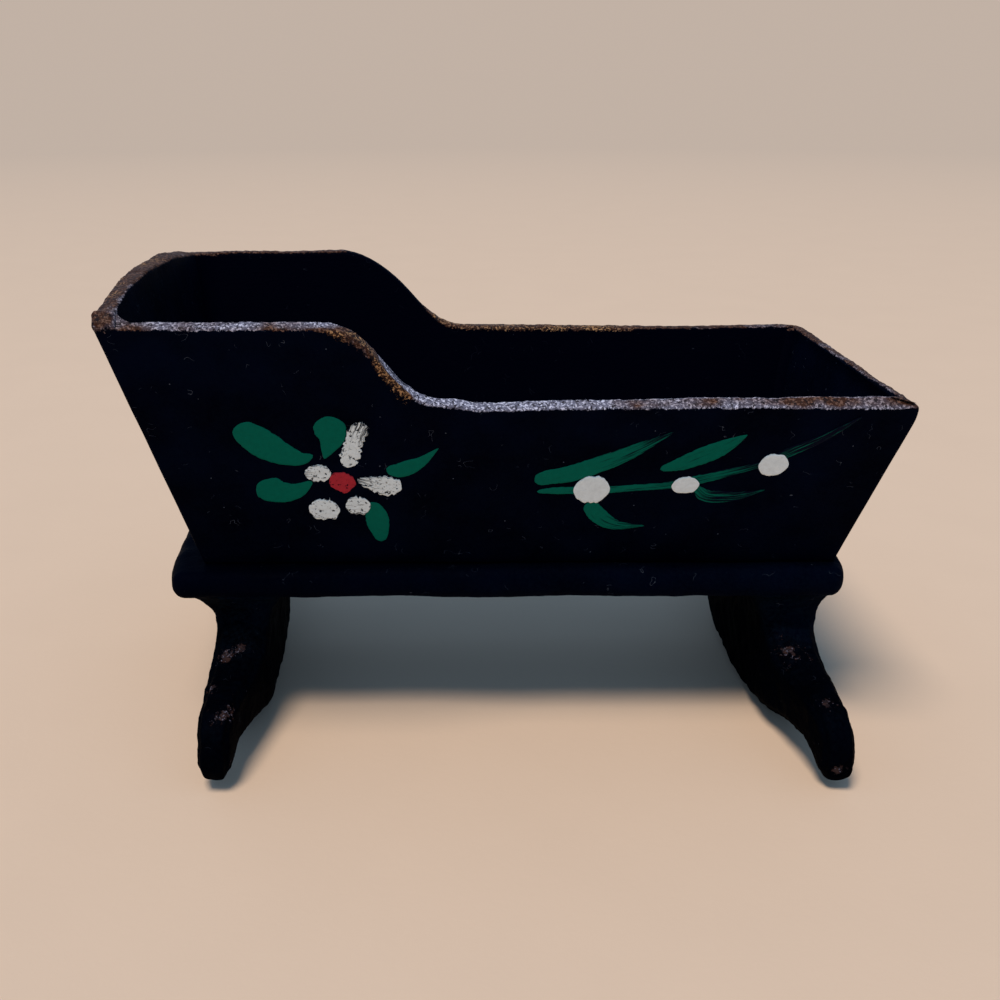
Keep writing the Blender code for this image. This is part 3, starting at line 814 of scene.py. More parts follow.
def end_board(name, node, end, tub, work, finish):
    """An end panel: -1 is the arched one at the head, 1 the straight one at the foot."""
    sizes = tub.sizes
    tilt = sizes.head_lean if end < 0 else sizes.foot_lean
    tall = sizes.head_height + sizes.crown_rise if end < 0 else sizes.foot_height
    size = Vector((2 * tub.side_y(tall), sizes.end_wall, tall / math.cos(tilt)))
    thing = board_block(name, size, work)
    inset = work.face_waver
    half_rim = tub.side_y(tall) - inset
    rim_wall = sizes.end_wall if end < 0 else sizes.foot_rim_wall
    marks = {"wear": [], "tone": [], "painted_light": []}
    for vertex in thing.data.vertices:
        point = round_off(vertex.co, size, work.board_round)
        across, depth, up = 2 * point.x / size.x - 1, point.y / size.y, point.z / size.z
        to_side = (1 - abs(across)) * half_rim / tub.inward
        lift, reach, *edge_tones = read_off(across * half_rim, HEAD_RIM if end < 0 else FOOT_RIM)
        top = tub.arch(across * half_rim) if end < 0 else sizes.foot_height
        top += work.rim_waver * waver(across * half_rim, END_WAVE, END_SEED + end)
        top += min(depth, to_side) * lift
        if end < 0:
            away = (1 + across) * half_rim
            top -= (sizes.spring_rise - sizes.corner_rise) * max(1 - away / sizes.knob_place, 0)
            off_knob = (away - sizes.knob_place) / sizes.knob_reach
            top += sizes.knob_rise * max(1 - off_knob ** 2, 0) * (1 - depth)
        height = up * (top + tub.gap) - tub.gap
        wall = sizes.end_wall + (rim_wall - sizes.end_wall) * up ** THIN_POWER
        x = tub.end_x(height, end) - end * (depth * wall + inset) / math.cos(tilt)
        y = across * (tub.side_y(height) - inset)
        vertex.co = (*tub.soften(x, y, height, inset), tub.bottom + height)
        width = work.wear_width * (reach + (max(work.least_wear, reach - 1) - reach) * depth)
        marks["wear"].append(max(1 - (top - height) / width, 0))
        marks["tone"].append(across_rim(depth, *edge_tones))
        # Painted shade: the inner face is painted a little darker than the outer one.
        marks["painted_light"].append(1 - INNER_SHADE * depth)
    hand_over_board(thing, node, marks, END_SEED + end, work, finish)


def corner_paint(tub, work, finish):
    """Paint that has run into the tub's four inner corners and rounds them, up to the rim."""
    sizes = tub.sizes
    strips = []
    for side in (-1, 1):
        for end in (-1, 1):
            tilt = sizes.head_lean if end < 0 else sizes.foot_lean
            radius = work.head_fillet if end < 0 < side else work.fillet
            wall = sizes.end_wall if end < 0 else sizes.foot_rim_wall
            tall = sizes.head_height if end < 0 else sizes.foot_height
            end_rim = HEAD_RIM if end < 0 else FOOT_RIM
            side_rim = FRONT_RIM if side < 0 else BACK_RIM
            rim_x = tub.end_x(tall, end) - end * (wall + radius)
            rim_y = side * (tub.side_y(tall) - tub.inward - radius)
            panel = (tub.arch(rim_y) if end < 0 else tall) + read_off(rim_y, end_rim)[0]
            board = tub.side_rim(rim_x, side) + read_off(rim_x, side_rim)[0]
            strip = grid(FILLET_CELLS, STRIP_CELLS)
            wear = []
            backs = []
            for vertex in strip.data.vertices:
                along, up = vertex.co.x + 0.5, 1 - (0.5 - vertex.co.y) ** RIM_CROWD_POWER
                turn = along * math.pi / 2
                top = panel + (board - panel) * along - work.rim_rough
                height = up * (top + tub.gap) - tub.gap
                outer = tub.end_x(height, end)
                thick = sizes.end_wall + (wall - sizes.end_wall) * max(height / top, 0) ** THIN_POWER
                near = max(1 - (top - height) / work.board_round, 0)
                back = work.face_waver + work.board_round * (1 - math.sqrt(1 - near ** 2))
                hollow = radius * (1 - math.cos(turn)) - back * math.cos(turn)
                x = outer - end * (thick / math.cos(tilt) + hollow)
                hollow = radius * (1 - math.sin(turn)) - back * math.sin(turn)
                y = side * (tub.side_y(height) - tub.inward - hollow)
                vertex.co = (x, y, tub.bottom + height)
                backs.append((outer - end * thick / 2, y + side * tub.inward / 2 * math.sin(turn)))
                width = work.wear_width * (FRONT_CORNER_WEAR if side < 0 else BACK_CORNER_WEAR)
                wear.append(max(1 - (top - height) / width, 0))
            store(strip.data, "wear", wear)
            tone = HEAD_CORNER_TONE if side < 0 and end < 0 else 0.0
            store(strip.data, "tone", [tone] * len(wear))
            edit(bpy.ops.mesh.extrude_region_move)
            for vertex in strip.data.vertices:
                if vertex.select:
                    away = [(front.co - vertex.co).length for front in strip.data.vertices[:len(backs)]]
                    vertex.co = (*backs[away.index(min(away))], vertex.co.z - work.board_round)
            strips.append(strip)
    thing = joined("corner_paint", strips)
    hand_over(thing, "painted_board", finish)
    return thing


def joined(name, things):
    """Join objects into one with that name."""
    deselect()
    for thing in things:
        thing.select_set(True)
    bpy.context.view_layer.objects.active = things[0]
    if len(things) > 1:
        bpy.ops.object.join()
    things[0].name = name
    return things[0]


def base_plank(tub, stand, work, finish):
    """The plank under the tub, with rounded edges that waver and ends that bulge. Outside the
    tub it swells up, more towards the foot end."""
    size = Vector(base_high - base_low)
    edge = stand.base_round
    along = stations(size.x, edge, work.cell * PLANK_LENGTH_CELL)
    across = stations(size.y, edge, work.cell * PLANK_WIDTH_CELL)
    thing = block("base_plank", along, across, stations(size.z, edge, work.cell))
    wear = []
    painted_light = []
    for vertex in thing.data.vertices:
        point = round_off(vertex.co, size, edge)
        across = 2 * point.y / size.y - 1
        along = 2 * point.x / size.x - 1
        bulge = (1 - across ** 4) * abs(along) ** BULGE_POWER
        bulge *= stand.head_bulge if along < 0 else stand.foot_bulge
        x = base_low.x + point.x + math.copysign(bulge, along)
        y = base_low.y + point.y
        y += stand.base_waver * across * waver(point.x, PLANK_EDGE_WAVE, PLANK_EDGE_SEED)
        z = base_low.z + point.z
        z += stand.base_waver * waver(point.x, PLANK_FACE_WAVE, PLANK_FACE_SEED + across) * abs(across)
        z -= stand.base_sag * (1 - point.z / size.z)
        outside = max(abs(y) - tub.half, x - tub.foot, tub.head - x) / stand.swell_reach
        swell = stand.base_swell * clamp(outside) * clamp(along + 1)
        z += swell * point.z / size.z
        vertex.co = (x, y, z)
        off_edge = min(point.y, size.y - point.y) + min(point.z, size.z - point.z)
        wear.append(PLANK_WEAR * max(1 - off_edge / (PLANK_WEAR_REACH * edge), 0))
        # Painted light: the plank is painted lighter outside the tub, more so towards the foot end.
        painted_light.append(clamp(outside) * (PLANK_LIGHT + PLANK_LIGHT_RISE * along))
    store(thing.data, "wear", wear)
    store(thing.data, "painted_light", painted_light)
    displace(thing, "plank_clouds", PLANK_CLOUDS, 2, work.face_waver * 3, 0.5)
    hand_over(thing, "painted_base", finish, "base_board")
    return thing


def rocker_root(outer, out, stand):
    """The spread top of a rocker, which fills the cove between its waist and the base plank and
    ends inside the plank. It starts at the rocker's outer face, and out is the way this looks."""
    root = block("root", (0, 1), (0, 1), range(ROOT_LEVELS + 2))
    bottom, top = stand.waist_height, base_low.z + stand.base_waver
    edge = base_high.x if out > 0 else base_low.x
    spread = min(stand.root_flare, abs(edge - outer) - stand.base_waver)
    full = base_high.y - 3 * stand.base_waver - stand.waist_width / 2
    for vertex in root.data.vertices:
        level = round(vertex.co.z)
        gone = min(level / ROOT_LEVELS, 1)
        flare = gone ** stand.root_curve
        if vertex.co.x > 0.5:
            x = outer + out * spread * flare
        else:
            x = outer - out * (stand.root_thickness + stand.root_flare * flare)
        half = stand.waist_width / 2 + full * flare
        height = bottom + (top - bottom) * gone
        if level > ROOT_LEVELS:
            height = (base_low.z + base_high.z) / 2
        vertex.co = (x, math.copysign(half, vertex.co.y - 0.5), height)
    take(root)
    edit(bpy.ops.mesh.normals_make_consistent, inside=False)
    return root


def round_toes(thing, stand):
    """Narrow the toes towards their lowest point and round their soles."""
    toes = [vertex for vertex in thing.data.vertices if abs(vertex.co.y) > stand.toe_start]
    middle = sum(vertex.co.x for vertex in toes) / len(toes)
    half = max(abs(vertex.co.x - middle) for vertex in toes)
    for vertex in toes:
        along = min((abs(vertex.co.y) - stand.toe_start) / stand.toe_top, 1)
        low = clamp((stand.toe_top - vertex.co.z) / (stand.toe_top - stand.toe_bottom))
        vertex.co.z += stand.toe_round * along * low * ((vertex.co.x - middle) / half) ** 2
        narrow = math.sqrt(1 - TOE_NARROWING * low ** 4)
        vertex.co.x = middle + (vertex.co.x - middle) * (1 - along * (1 - narrow))


def rocker(name, node, outer, out, chips, stand, finish):
    """A rocker, cut by hand: its frame solid made uneven, lumpy with paint and chipped."""
    deselect()
    bpy.ops.mesh.primitive_cube_add(size=1)
    carved = bpy.context.object
    carved.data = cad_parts[node].data.copy()
    edit(bpy.ops.mesh.remove_doubles, threshold=SAME_PLACE)
    thing = joined(name, [carved, rocker_root(outer, out, stand)])
    modify(thing, "REMESH", mode="VOXEL", voxel_size=stand.voxel)
    modify(thing, "SMOOTH", factor=0.5, iterations=CARVED_SMOOTHING)
    group = thing.vertex_groups.new(name="root")
    for vertex in thing.data.vertices:
        part = (vertex.co.z - stand.root_blend) / (stand.waist_height - stand.root_blend)
        group.add([vertex.index], clamp(part), "REPLACE")
    modify(thing, "SMOOTH", factor=0.5, iterations=ROOT_SMOOTHING, vertex_group="root")
    thing.vertex_groups.clear()
    round_toes(thing, stand)
    displace(thing, name + "_waver", ROCKER_CLOUDS, 1, stand.rocker_waver, 0.42)
    displace(thing, name + "_lumps", LUMP_CLOUDS, 3, stand.rocker_lumps, 0.5)
    chip(thing, chips, stand)
    hand_over(thing, "painted_rocker", finish, node)
    return thing


def chip(thing, chips, stand):
    """Rub the lumps that stand up, sink the chips of bare wood into the surface, with flecks of
    wood around them, and paint light on the upper part of the front: faces that turn to the front
    get a painted light attribute that grows with height."""
    lumps = bmesh.new()
    lumps.from_mesh(thing.data)
    wear = []
    painted_light = []
    moves = []
    for vertex in lumps.verts:
        around = [edge.other_vert(vertex).co for edge in vertex.link_edges]
        middle = sum(around, Vector()) / len(around)
        standing = (vertex.co - middle).dot(vertex.normal) / stand.voxel
        bare = 0.0
        flecked = 0.0
        for place, radius in chips:
            away = (vertex.co - Vector(place)).length / radius
            ragged = CHIP_RAGGED * noise.noise(vertex.co / CHIP_RAGS)
            bare = max(bare, clamp((CHIP_REACH - away + ragged) * CHIP_FALL, most=CHIP_WEAR))
            flecked = max(flecked, FLECK_WEAR * clamp((FLECK_REACH - away) * FLECK_FALL))
        wear.append(max(clamp(standing * LUMP_FALL, most=LUMP_WEAR), flecked, bare))
        # Painted light: faces that turn to the front are painted lighter, more so higher up.
        up = clamp((vertex.co.z - stand.toe_top) / (stand.waist_height - stand.toe_top))
        facing = clamp(-FACING_RISE * vertex.normal.y)
        painted_light.append(facing * (TOE_LIGHT + (1 - TOE_LIGHT) * up ** 2))
        moves.append(vertex.normal * (-stand.chip_depth * bare))
    lumps.free()
    for vertex, move in zip(thing.data.vertices, moves):
        vertex.co += move
    store(thing.data, "wear", wear)
    store(thing.data, "painted_light", painted_light)


def stroke(path, place, tub, work, coat, ragged, dry):
    """One brush stroke: a thin ribbon of paint along its points, rounded at both ends. It lies
    over that many coats, and its dryness runs from the first to the second number of dry."""
    run = smooth_run([Vector(point) * work.motif for point in path], STROKE_STEPS)
    gone = [0.0]
    for start, end in zip(run, run[1:]):
        gone.append(gone[-1] + (end - start).to_2d().length)
    thing = grid(len(run) - 1, STROKE_CELLS)
    dryness = [0.0] * len(thing.data.vertices)
    spread = [(0.0, 0.0)] * len(thing.data.vertices)
    for vertex in thing.data.vertices:
        index = round((vertex.co.x + 0.5) * (len(run) - 1))
        off = 2 * vertex.co.y
        before, after = run[max(index - 1, 0)], run[min(index + 1, len(run) - 1)]
        tangent = (after - before).to_2d().normalized()
        half = run[index].z * cap(gone[index], run[0].z) * cap(gone[-1] - gone[index], run[-1].z)
        rags = noise.noise(Vector((*run[index].xy, math.copysign(work.motif, off))) / STROKE_RAGS)
        edge = 1 + ragged * rags
        along = run[index].x - tangent.y * off * half * edge
        up = run[index].y + tangent.x * off * half * edge
        ridges = noise.noise(
            Vector((gone[index] / RIDGE_LENGTH, off * half / RIDGE_WIDTH, place[0] * RIDGE_SEED))
        )
        crown = (1 - off ** 4) * (STROKE_CROWN + STROKE_RIDGE * ridges)
        lift = work.paint_height * (coat + STROKE_EDGE + crown)
        vertex.co = tub.on_front(place[0] + along, place[1] + up, lift)
        dryness[vertex.index] = dry[0] + (dry[1] - dry[0]) * gone[index] / gone[-1] + ragged * off ** 6
        spread[vertex.index] = (gone[index] + place[0], off * half)
    store(thing.data, "dryness", dryness)
    for loop, corner in zip(thing.data.loops, thing.data.uv_layers[0].data):
        corner.uv = spread[loop.vertex_index]
    modify(thing, "SOLIDIFY", thickness=work.paint_height * (coat + STROKE_ROOT), offset=-1)
    return thing


def cap(distance, radius):
    """The share of its width that a stroke has at that distance from a round end."""
    near = clamp(distance / radius, STROKE_TIP)
    return math.sqrt(1 - (1 - near) ** 2)


def strokes(name, paths, place, tub, work, finish, coat, ragged=0.08, dry=((0.1, 0.1),)):
    """A group of brush strokes in one paint, over that many coats."""
    made = []
    for index, path in enumerate(paths):
        made.append(stroke(path, place, tub, work, coat, ragged, dry[index % len(dry)]))
    thing = joined(name, made)
    hand_over(thing, "painted_board", finish)
    return thing


# Finishes

class Finish:
    """A node material in the making, with short calls that add its nodes and join them."""

    def __init__(self, name):
        self.material = bpy.data.materials.new(name)
        self.material.use_nodes = True
        self.tree = self.material.node_tree
        self.shader = self.tree.nodes["Principled BSDF"]
        self.place = self.add("ShaderNodeTexCoord").outputs["Object"]

    def add(self, kind, **settings):
        node = self.tree.nodes.new(kind)
        for name, value in settings.items():
            setattr(node, name, value)
        return node

    def feed(self, socket, value):
        """Join a socket to another one, or set it to a value."""
        if isinstance(value, bpy.types.NodeSocket):
            self.tree.links.new(value, socket)
        else:
            socket.default_value = value

    def stretched(self, scales, place=None):
        node = self.add("ShaderNodeVectorMath", operation="MULTIPLY")
        self.feed(node.inputs[0], place or self.place)
        self.feed(node.inputs[1], scales)
        return node.outputs["Vector"]

    def noise(self, scale, detail=3.0, roughness=0.55, place=None):
        node = self.add("ShaderNodeTexNoise")
        self.feed(node.inputs["Vector"], place or self.place)
        for name, value in (("Scale", scale), ("Detail", detail), ("Roughness", roughness)):
            self.feed(node.inputs[name], value)
        return node.outputs["Fac"]

    def math(self, operation, first, second=0.0, third=0.0):
        node = self.add("ShaderNodeMath", operation=operation)
        for socket, value in zip(node.inputs, (first, second, third)):
            self.feed(socket, value)
        return node.outputs["Value"]

    def span(self, value, low, high, least=0.0, most=1.0):
        """The value's place between low and high, as a number from least to most."""
        node = self.add("ShaderNodeMapRange")
        for name, number in (
            ("Value", value), ("From Min", low), ("From Max", high), ("To Min", least), ("To Max", most),
        ):
            self.feed(node.inputs[name], number)
        return node.outputs["Result"]

    def blend(self, part, first, second):
        """A colour between two colours. The Mix node's colour sockets are its seventh and eighth."""
        node = self.add("ShaderNodeMix", data_type="RGBA")
        self.feed(node.inputs[0], part)
        self.feed(node.inputs[6], first)
        self.feed(node.inputs[7], second)
        return node.outputs[2]

    def stored(self, name):
        return self.add("ShaderNodeAttribute", attribute_name=name).outputs["Fac"]

    def specks(self, scale, size, rarity, place=None):
        """Small round spots, in some of the cells of that scale."""
        node = self.add("ShaderNodeTexVoronoi")
        self.feed(node.inputs["Vector"], place or self.place)
        self.feed(node.inputs["Scale"], scale)
        chosen = self.math("GREATER_THAN", node.outputs["Color"], rarity)
        return self.math("MULTIPLY", self.span(node.outputs["Distance"], size, size * 0.6), chosen)

    def hairs(self, scale, width, rarity):
        """Short curved hairlines: the level lines of a noise, where another noise lets them show."""
        level = self.math("ABSOLUTE", self.math("SUBTRACT", self.noise(scale, 1.0), 0.5))
        line = self.span(level, width, width * 0.4)
        shown = self.span(self.noise(scale * 0.9, 0.0), rarity, rarity + 0.02)
        return self.math("MULTIPLY", line, shown)

    def bump(self, height, distance, normal=None):
        node = self.add("ShaderNodeBump")
        self.feed(node.inputs["Height"], height)
        node.inputs["Distance"].default_value = distance
        if normal:
            self.feed(node.inputs["Normal"], normal)
        return node.outputs["Normal"]

    def close(self, tint, roughness, normal):
        self.feed(self.shader.inputs["Base Color"], tint)
        self.feed(self.shader.inputs["Roughness"], roughness)
        self.feed(self.shader.inputs["Normal"], normal)
        return self.material


def dimmed(tone, part):
    """A colour with that part of its brightness."""
    return (*(value * part for value in tone[:3]), 1.0)


def bare_wood(finish, colours):
    """Colour of rubbed wood by its tone attribute: freshly rubbed, brown, or with a painted silvery
    sheen, which is a painted highlight. Fine fibres stand out pale, or as painted glints where the
    sheen is, and paint stays dark in the grain."""
    mottle = finish.math("SUBTRACT", finish.noise(WOOD_MOTTLE), 0.5)
    tone = finish.math("MULTIPLY_ADD", mottle, 1.5, finish.stored("tone"))
    # Painted highlight: a low tone turns the wood into the painted sheen and its glints.
    painted_sheen_share = finish.span(tone, -0.15, -0.85)
    gold = finish.span(tone, 0.20, 0.60)
    middle = finish.blend(painted_sheen_share, colours.wood, colours.painted_sheen)
    fibre_or_glint = finish.blend(painted_sheen_share, colours.wood_pale, colours.painted_glint)
    fibre_or_glint = finish.blend(gold, fibre_or_glint, colours.wood_fresh)
    fine = finish.noise(FINE_GRAIN, 4.0, 0.7)
    grain = finish.math("MULTIPLY_ADD", gold, -0.05, fine)
    tint = finish.blend(finish.span(grain, 0.405, 0.495), colours.wood_dark, middle)
    tint = finish.blend(finish.span(finish.noise(FIBRE_GRAIN, 3.0, 0.65), 0.51, 0.60), tint, fibre_or_glint)
    return finish.blend(finish.span(tone, -1.5, -2.1), tint, colours.lit_enamel)


def enamel(name, colours, coat, brushing, depths, film=0.15, shine=0.004, wood=bare_wood):
    """Brushed enamel in the coat's colour, rubbed through to the wood where the wear attribute is
    high. Where the painted light attribute is high it is painted lighter, in patches of the lit
    enamel colour with more dust marks, and elsewhere it stays in painted shade. The depths are those
    of its brush marks and its lumps, film is how much dusty film lies on it where that painted light
    is high, and shine is its specular level."""
    brush_depth, lump_depth = depths
    finish = Finish(name)
    # Painted light and shade: outside holds the painted light attribute, which brings in lighter patches,
    # the film and more dust marks; where it is low the enamel stays dark as painted shade.
    outside = finish.stored("painted_light")
    patches = finish.span(finish.noise(PAINT_PATCHES, 4.0, 0.6), 0.35, 0.75)
    paint = finish.blend(finish.math("MULTIPLY", patches, outside), coat, colours.lit_enamel)
    rough = finish.math("MULTIPLY", finish.span(finish.noise(FINE_GRAIN, 4.0, 0.7), 0.40, 0.75), film)
    rough = finish.math("MULTIPLY", rough, outside)
    paint = finish.blend(rough, paint, colours.film)
    dashes = finish.specks(1.0, 0.10, 0.90, finish.stretched(PAINT_DASHES))
    marks = finish.math("MAXIMUM", finish.specks(PAINT_SPECKS, 0.10, 0.84), dashes)
    marks = finish.math("MAXIMUM", finish.hairs(PAINT_HAIRS, 0.004, 0.72), marks)
    # The dust marks are real, but where the painted light is low they are dimmed as painted shade.
    marks = finish.math("MULTIPLY", marks, finish.span(outside, 0.0, 1.0, 0.12, 0.65))
    paint = finish.blend(marks, paint, colours.dust)
    wear = finish.stored("wear")
    ragged = finish.noise(SMALL_RAGS, 5.0, 0.7)
    ragged = finish.math("MULTIPLY_ADD", finish.noise(LARGE_RAGS, 2.0), 0.5, ragged)
    strength = finish.span(wear, 0.0, 0.3, 0.0, 1.8)
    ragged = finish.math("MULTIPLY", finish.math("SUBTRACT", ragged, 0.75), strength)
    bare = finish.span(finish.math("ADD", wear, ragged), 0.47, 0.55)
    tint = finish.blend(bare, paint, wood(finish, colours))
    brush = finish.noise(1.0, 4.0, 0.6, finish.stretched(brushing))
    normal = finish.bump(brush, brush_depth)
    normal = finish.bump(finish.noise(PAINT_LUMPS), lump_depth, normal)
    normal = finish.bump(finish.math("SUBTRACT", finish.noise(PAINT_PITS), bare), WEAR_DEPTH, normal)
    gloss = finish.span(finish.noise(PAINT_GLOSS), 0.3, 0.7, 0.44, 0.60)
    finish.feed(finish.shader.inputs["Specular IOR Level"], finish.span(wear, 0.45, 0.95, shine, 0.05))
    return finish.close(tint, gloss, normal)


def chipped_wood(finish, colours):
    """Colour of the wood in the rockers' chips: from brown to pink, with dark grain across it and
    a few pale flecks, which are painted glints in the sheen's colour."""
    grain = finish.noise(1.0, 4.0, 0.6, finish.stretched(CHIP_GRAIN))
    patches = finish.span(finish.noise(CHIP_PATCHES), 0.42, 0.58)
    tint = finish.blend(patches, colours.wood, colours.chip)
    tint = finish.blend(finish.span(grain, 0.44, 0.62), colours.wood_dark, tint)
    # Painted glints: these flecks take the painted sheen's colour.
    fibres = finish.span(finish.noise(FIBRE_GRAIN, 3.0, 0.65), 0.58, 0.66)
    return finish.blend(fibres, tint, colours.painted_sheen)


def stroke_paint(name, tone, colours, flecks, streaks, roughness):
    """A brushed-on paint that thins out into streaks and lets flecks of enamel show."""
    finish = Finish(name)
    spread = finish.add("ShaderNodeUVMap").outputs["UV"]
    streak = finish.noise(1.0, 3.0, 0.6, finish.stretched(STROKE_HAIRS, spread))
    fleck = finish.noise(STROKE_FLECKS, 4.0, 0.7)
    thin = finish.math("MULTIPLY_ADD", finish.stored("dryness"), streaks, streak)
    gaps = finish.span(fleck, flecks, flecks + 0.05)
    missing = finish.math("MAXIMUM", finish.span(thin, 0.78, 0.92), gaps)
    shade = finish.span(finish.noise(STROKE_SHADES, 4.0, 0.7), 0.3, 0.7, 0.0, 0.4)
    tint = finish.blend(shade, tone, dimmed(tone, 0.62))
    tint = finish.blend(missing, tint, colours.lit_enamel)
    normal = finish.bump(streak, HAIR_DEPTH)
    pits = finish.math("SUBTRACT", finish.noise(STROKE_PITS), missing)
    normal = finish.bump(pits, PIT_DEPTH, normal)
    finish.feed(finish.shader.inputs["Specular IOR Level"], 0.02)
    return finish.close(tint, roughness, normal)


def drawn_wire(name, colours):
    """Drawn steel wire with fine scratches."""
    finish = Finish(name)
    fine = finish.noise(WIRE_GRAIN)
    dull = finish.span(finish.noise(WIRE_DULLNESS), 0.35, 0.65)
    tint = finish.blend(dull, colours.steel, dimmed(colours.steel, 0.6))
    finish.shader.inputs["Metallic"].default_value = 1.0
    return finish.close(tint, finish.span(fine, 0.3, 0.7, 0.28, 0.45), finish.bump(fine, WIRE_DEPTH))


# Stage

def pale_floor(stage, colours):
    """A plain matt floor with the faintest mottling, which turns darker with distance, a painted shade."""
    finish = Finish("pale_floor")
    reach = finish.add("ShaderNodeVectorMath", operation="LENGTH")
    finish.feed(reach.inputs[0], finish.place)
    away = finish.span(reach.outputs["Value"], 0.0, stage.far_floor_shade_reach)
    mottle = finish.noise(FLOOR_MOTTLE)
    tint = finish.blend(mottle, colours.floor, dimmed(colours.floor, 0.95))
    tint = finish.blend(away, tint, colours.far_floor_shade)
    finish.feed(finish.shader.inputs["Specular IOR Level"], 0.0)
    return finish.close(tint, 0.95, finish.bump(finish.noise(FLOOR_GRAIN), FLOOR_DEPTH))


def on_floor(place, power):
    """The part of a far lamp's light that a white floor would give back."""
    return power * Vector(place).normalized().z / math.pi


def sky(stage, colours):
    """Even light all round, which the camera sees in the colour of the far floor."""
    world = bpy.data.worlds.new("sky")
    bpy.context.scene.world = world
    world.use_nodes = True
    nodes, links = world.node_tree.nodes, world.node_tree.links
    light = nodes["Background"]
    light.inputs["Color"].default_value = colours.sky
    light.inputs["Strength"].default_value = stage.sky_power
    key, back = on_floor(KEY_PLACE, stage.key_power), on_floor(BACK_PLACE, stage.back_power)
    seen = nodes.new("ShaderNodeBackground")
    seen.inputs["Color"].default_value = [
        far * (stage.sky_power * even + key * warm + back * cool)
        for far, even, warm, cool in zip(colours.far_floor_shade, colours.sky, colours.key, colours.back)
    ]
    mix = nodes.new("ShaderNodeMixShader")
    links.new(nodes.new("ShaderNodeLightPath").outputs["Is Camera Ray"], mix.inputs["Fac"])
    links.new(light.outputs["Background"], mix.inputs[1])
    links.new(seen.outputs["Background"], mix.inputs[2])
    links.new(mix.outputs["Shader"], nodes["World Output"].inputs["Surface"])


def far_lamp(name, place, power, spread, tint):
    """A soft lamp far away on that side, which lights the whole floor alike."""
    deselect()
    bpy.ops.object.light_add(type="SUN", location=place)
    lamp = bpy.context.object
    lamp.name = name
    lamp.data.energy = power
    lamp.data.angle = spread
    lamp.data.color = tint[:3]
    lamp.rotation_euler = (-Vector(place)).to_track_quat("-Z", "Y").to_euler()


def camera(stage):
    deselect()
    bpy.ops.object.camera_add(location=CAMERA_PLACE)
    viewer = bpy.context.object
    turn = Matrix.Rotation(-stage.camera_yaw, 4, "Z")
    tilt = Matrix.Rotation(math.pi / 2 - stage.camera_pitch, 4, "X")
    roll = Matrix.Rotation(stage.camera_roll, 4, "Z")
    viewer.rotation_euler = (turn @ tilt @ roll).to_euler()
    viewer.data.lens = stage.camera_lens
    viewer.data.shift_x, viewer.data.shift_y = CAMERA_SHIFT
    viewer.data.clip_start = 0.001
    bpy.context.scene.camera = viewer


# Operators

class CradleOperator:
    """What the cradle's operators share: the scene's settings, and the finishes by their names."""

    bl_options = {"REGISTER", "UNDO"}

    def settings(self, context):
        scene = context.scene
        return Tub(scene.cradle_tub), scene.cradle_work, scene.cradle_colours

    def board_enamel(self, colours):
        made = bpy.data.materials.get("board_enamel")
        return made or enamel("board_enamel", colours, colours.enamel, BOARD_BRUSHING, BOARD_DEPTHS)

    def shaded_rocker_enamel(self, colours):
        made = bpy.data.materials.get("shaded_rocker_enamel")
        return made or enamel(
            "shaded_rocker_enamel", colours, colours.shaded_rocker_enamel, ROCKER_BRUSHING, ROCKER_DEPTHS,
            film=0.60, shine=0.002, wood=chipped_wood,
        )


class CRADLE_OT_sides(CradleOperator, bpy.types.Operator):
    """Make the front and the back side board"""

    bl_idname = "cradle.sides"
    bl_label = "Side boards"

    def execute(self, context):
        tub, work, colours = self.settings(context)
        side_board("front_board", "front_side", -1, tub, work, self.board_enamel(colours))
        side_board("back_board", "back_side", 1, tub, work, self.board_enamel(colours))
        return {"FINISHED"}


class CRADLE_OT_ends(CradleOperator, bpy.types.Operator):
    """Make the arched head board and the straight foot board"""

    bl_idname = "cradle.ends"
    bl_label = "End boards"

    def execute(self, context):
        tub, work, colours = self.settings(context)
        end_board("head_board", "head_panel", -1, tub, work, self.board_enamel(colours))
        end_board("foot_board", "foot_panel", 1, tub, work, self.board_enamel(colours))
        return {"FINISHED"}


class CRADLE_OT_corners(CradleOperator, bpy.types.Operator):
    """Round the tub's inner corners with paint"""

    bl_idname = "cradle.corners"
    bl_label = "Corner paint"

    def execute(self, context):
        tub, work, colours = self.settings(context)
        corner_paint(tub, work, self.board_enamel(colours))
        return {"FINISHED"}


class CRADLE_OT_base(CradleOperator, bpy.types.Operator):
    """Make the plank under the tub"""

    bl_idname = "cradle.base"
    bl_label = "Base plank"

    def execute(self, context):
        tub, work, colours = self.settings(context)
        finish = enamel("base_enamel", colours, colours.enamel, PLANK_BRUSHING, PLANK_DEPTHS, film=0.28)
        base_plank(tub, context.scene.cradle_stand, work, finish)
        return {"FINISHED"}


class CRADLE_OT_rockers(CradleOperator, bpy.types.Operator):
    """Carve and chip the two rockers"""

    bl_idname = "cradle.rockers"
    bl_label = "Rockers"

    def execute(self, context):
        stand = context.scene.cradle_stand
        finish = self.shaded_rocker_enamel(context.scene.cradle_colours)
        head, foot = base_low.x + stand.head_inset, base_high.x - stand.foot_inset
        rocker("carved_head_rocker", "head_rocker", head, -1, HEAD_ROCKER_CHIPS, stand, finish)
        rocker("carved_foot_rocker", "foot_rocker", foot, 1, FOOT_ROCKER_CHIPS, stand, finish)
        return {"FINISHED"}


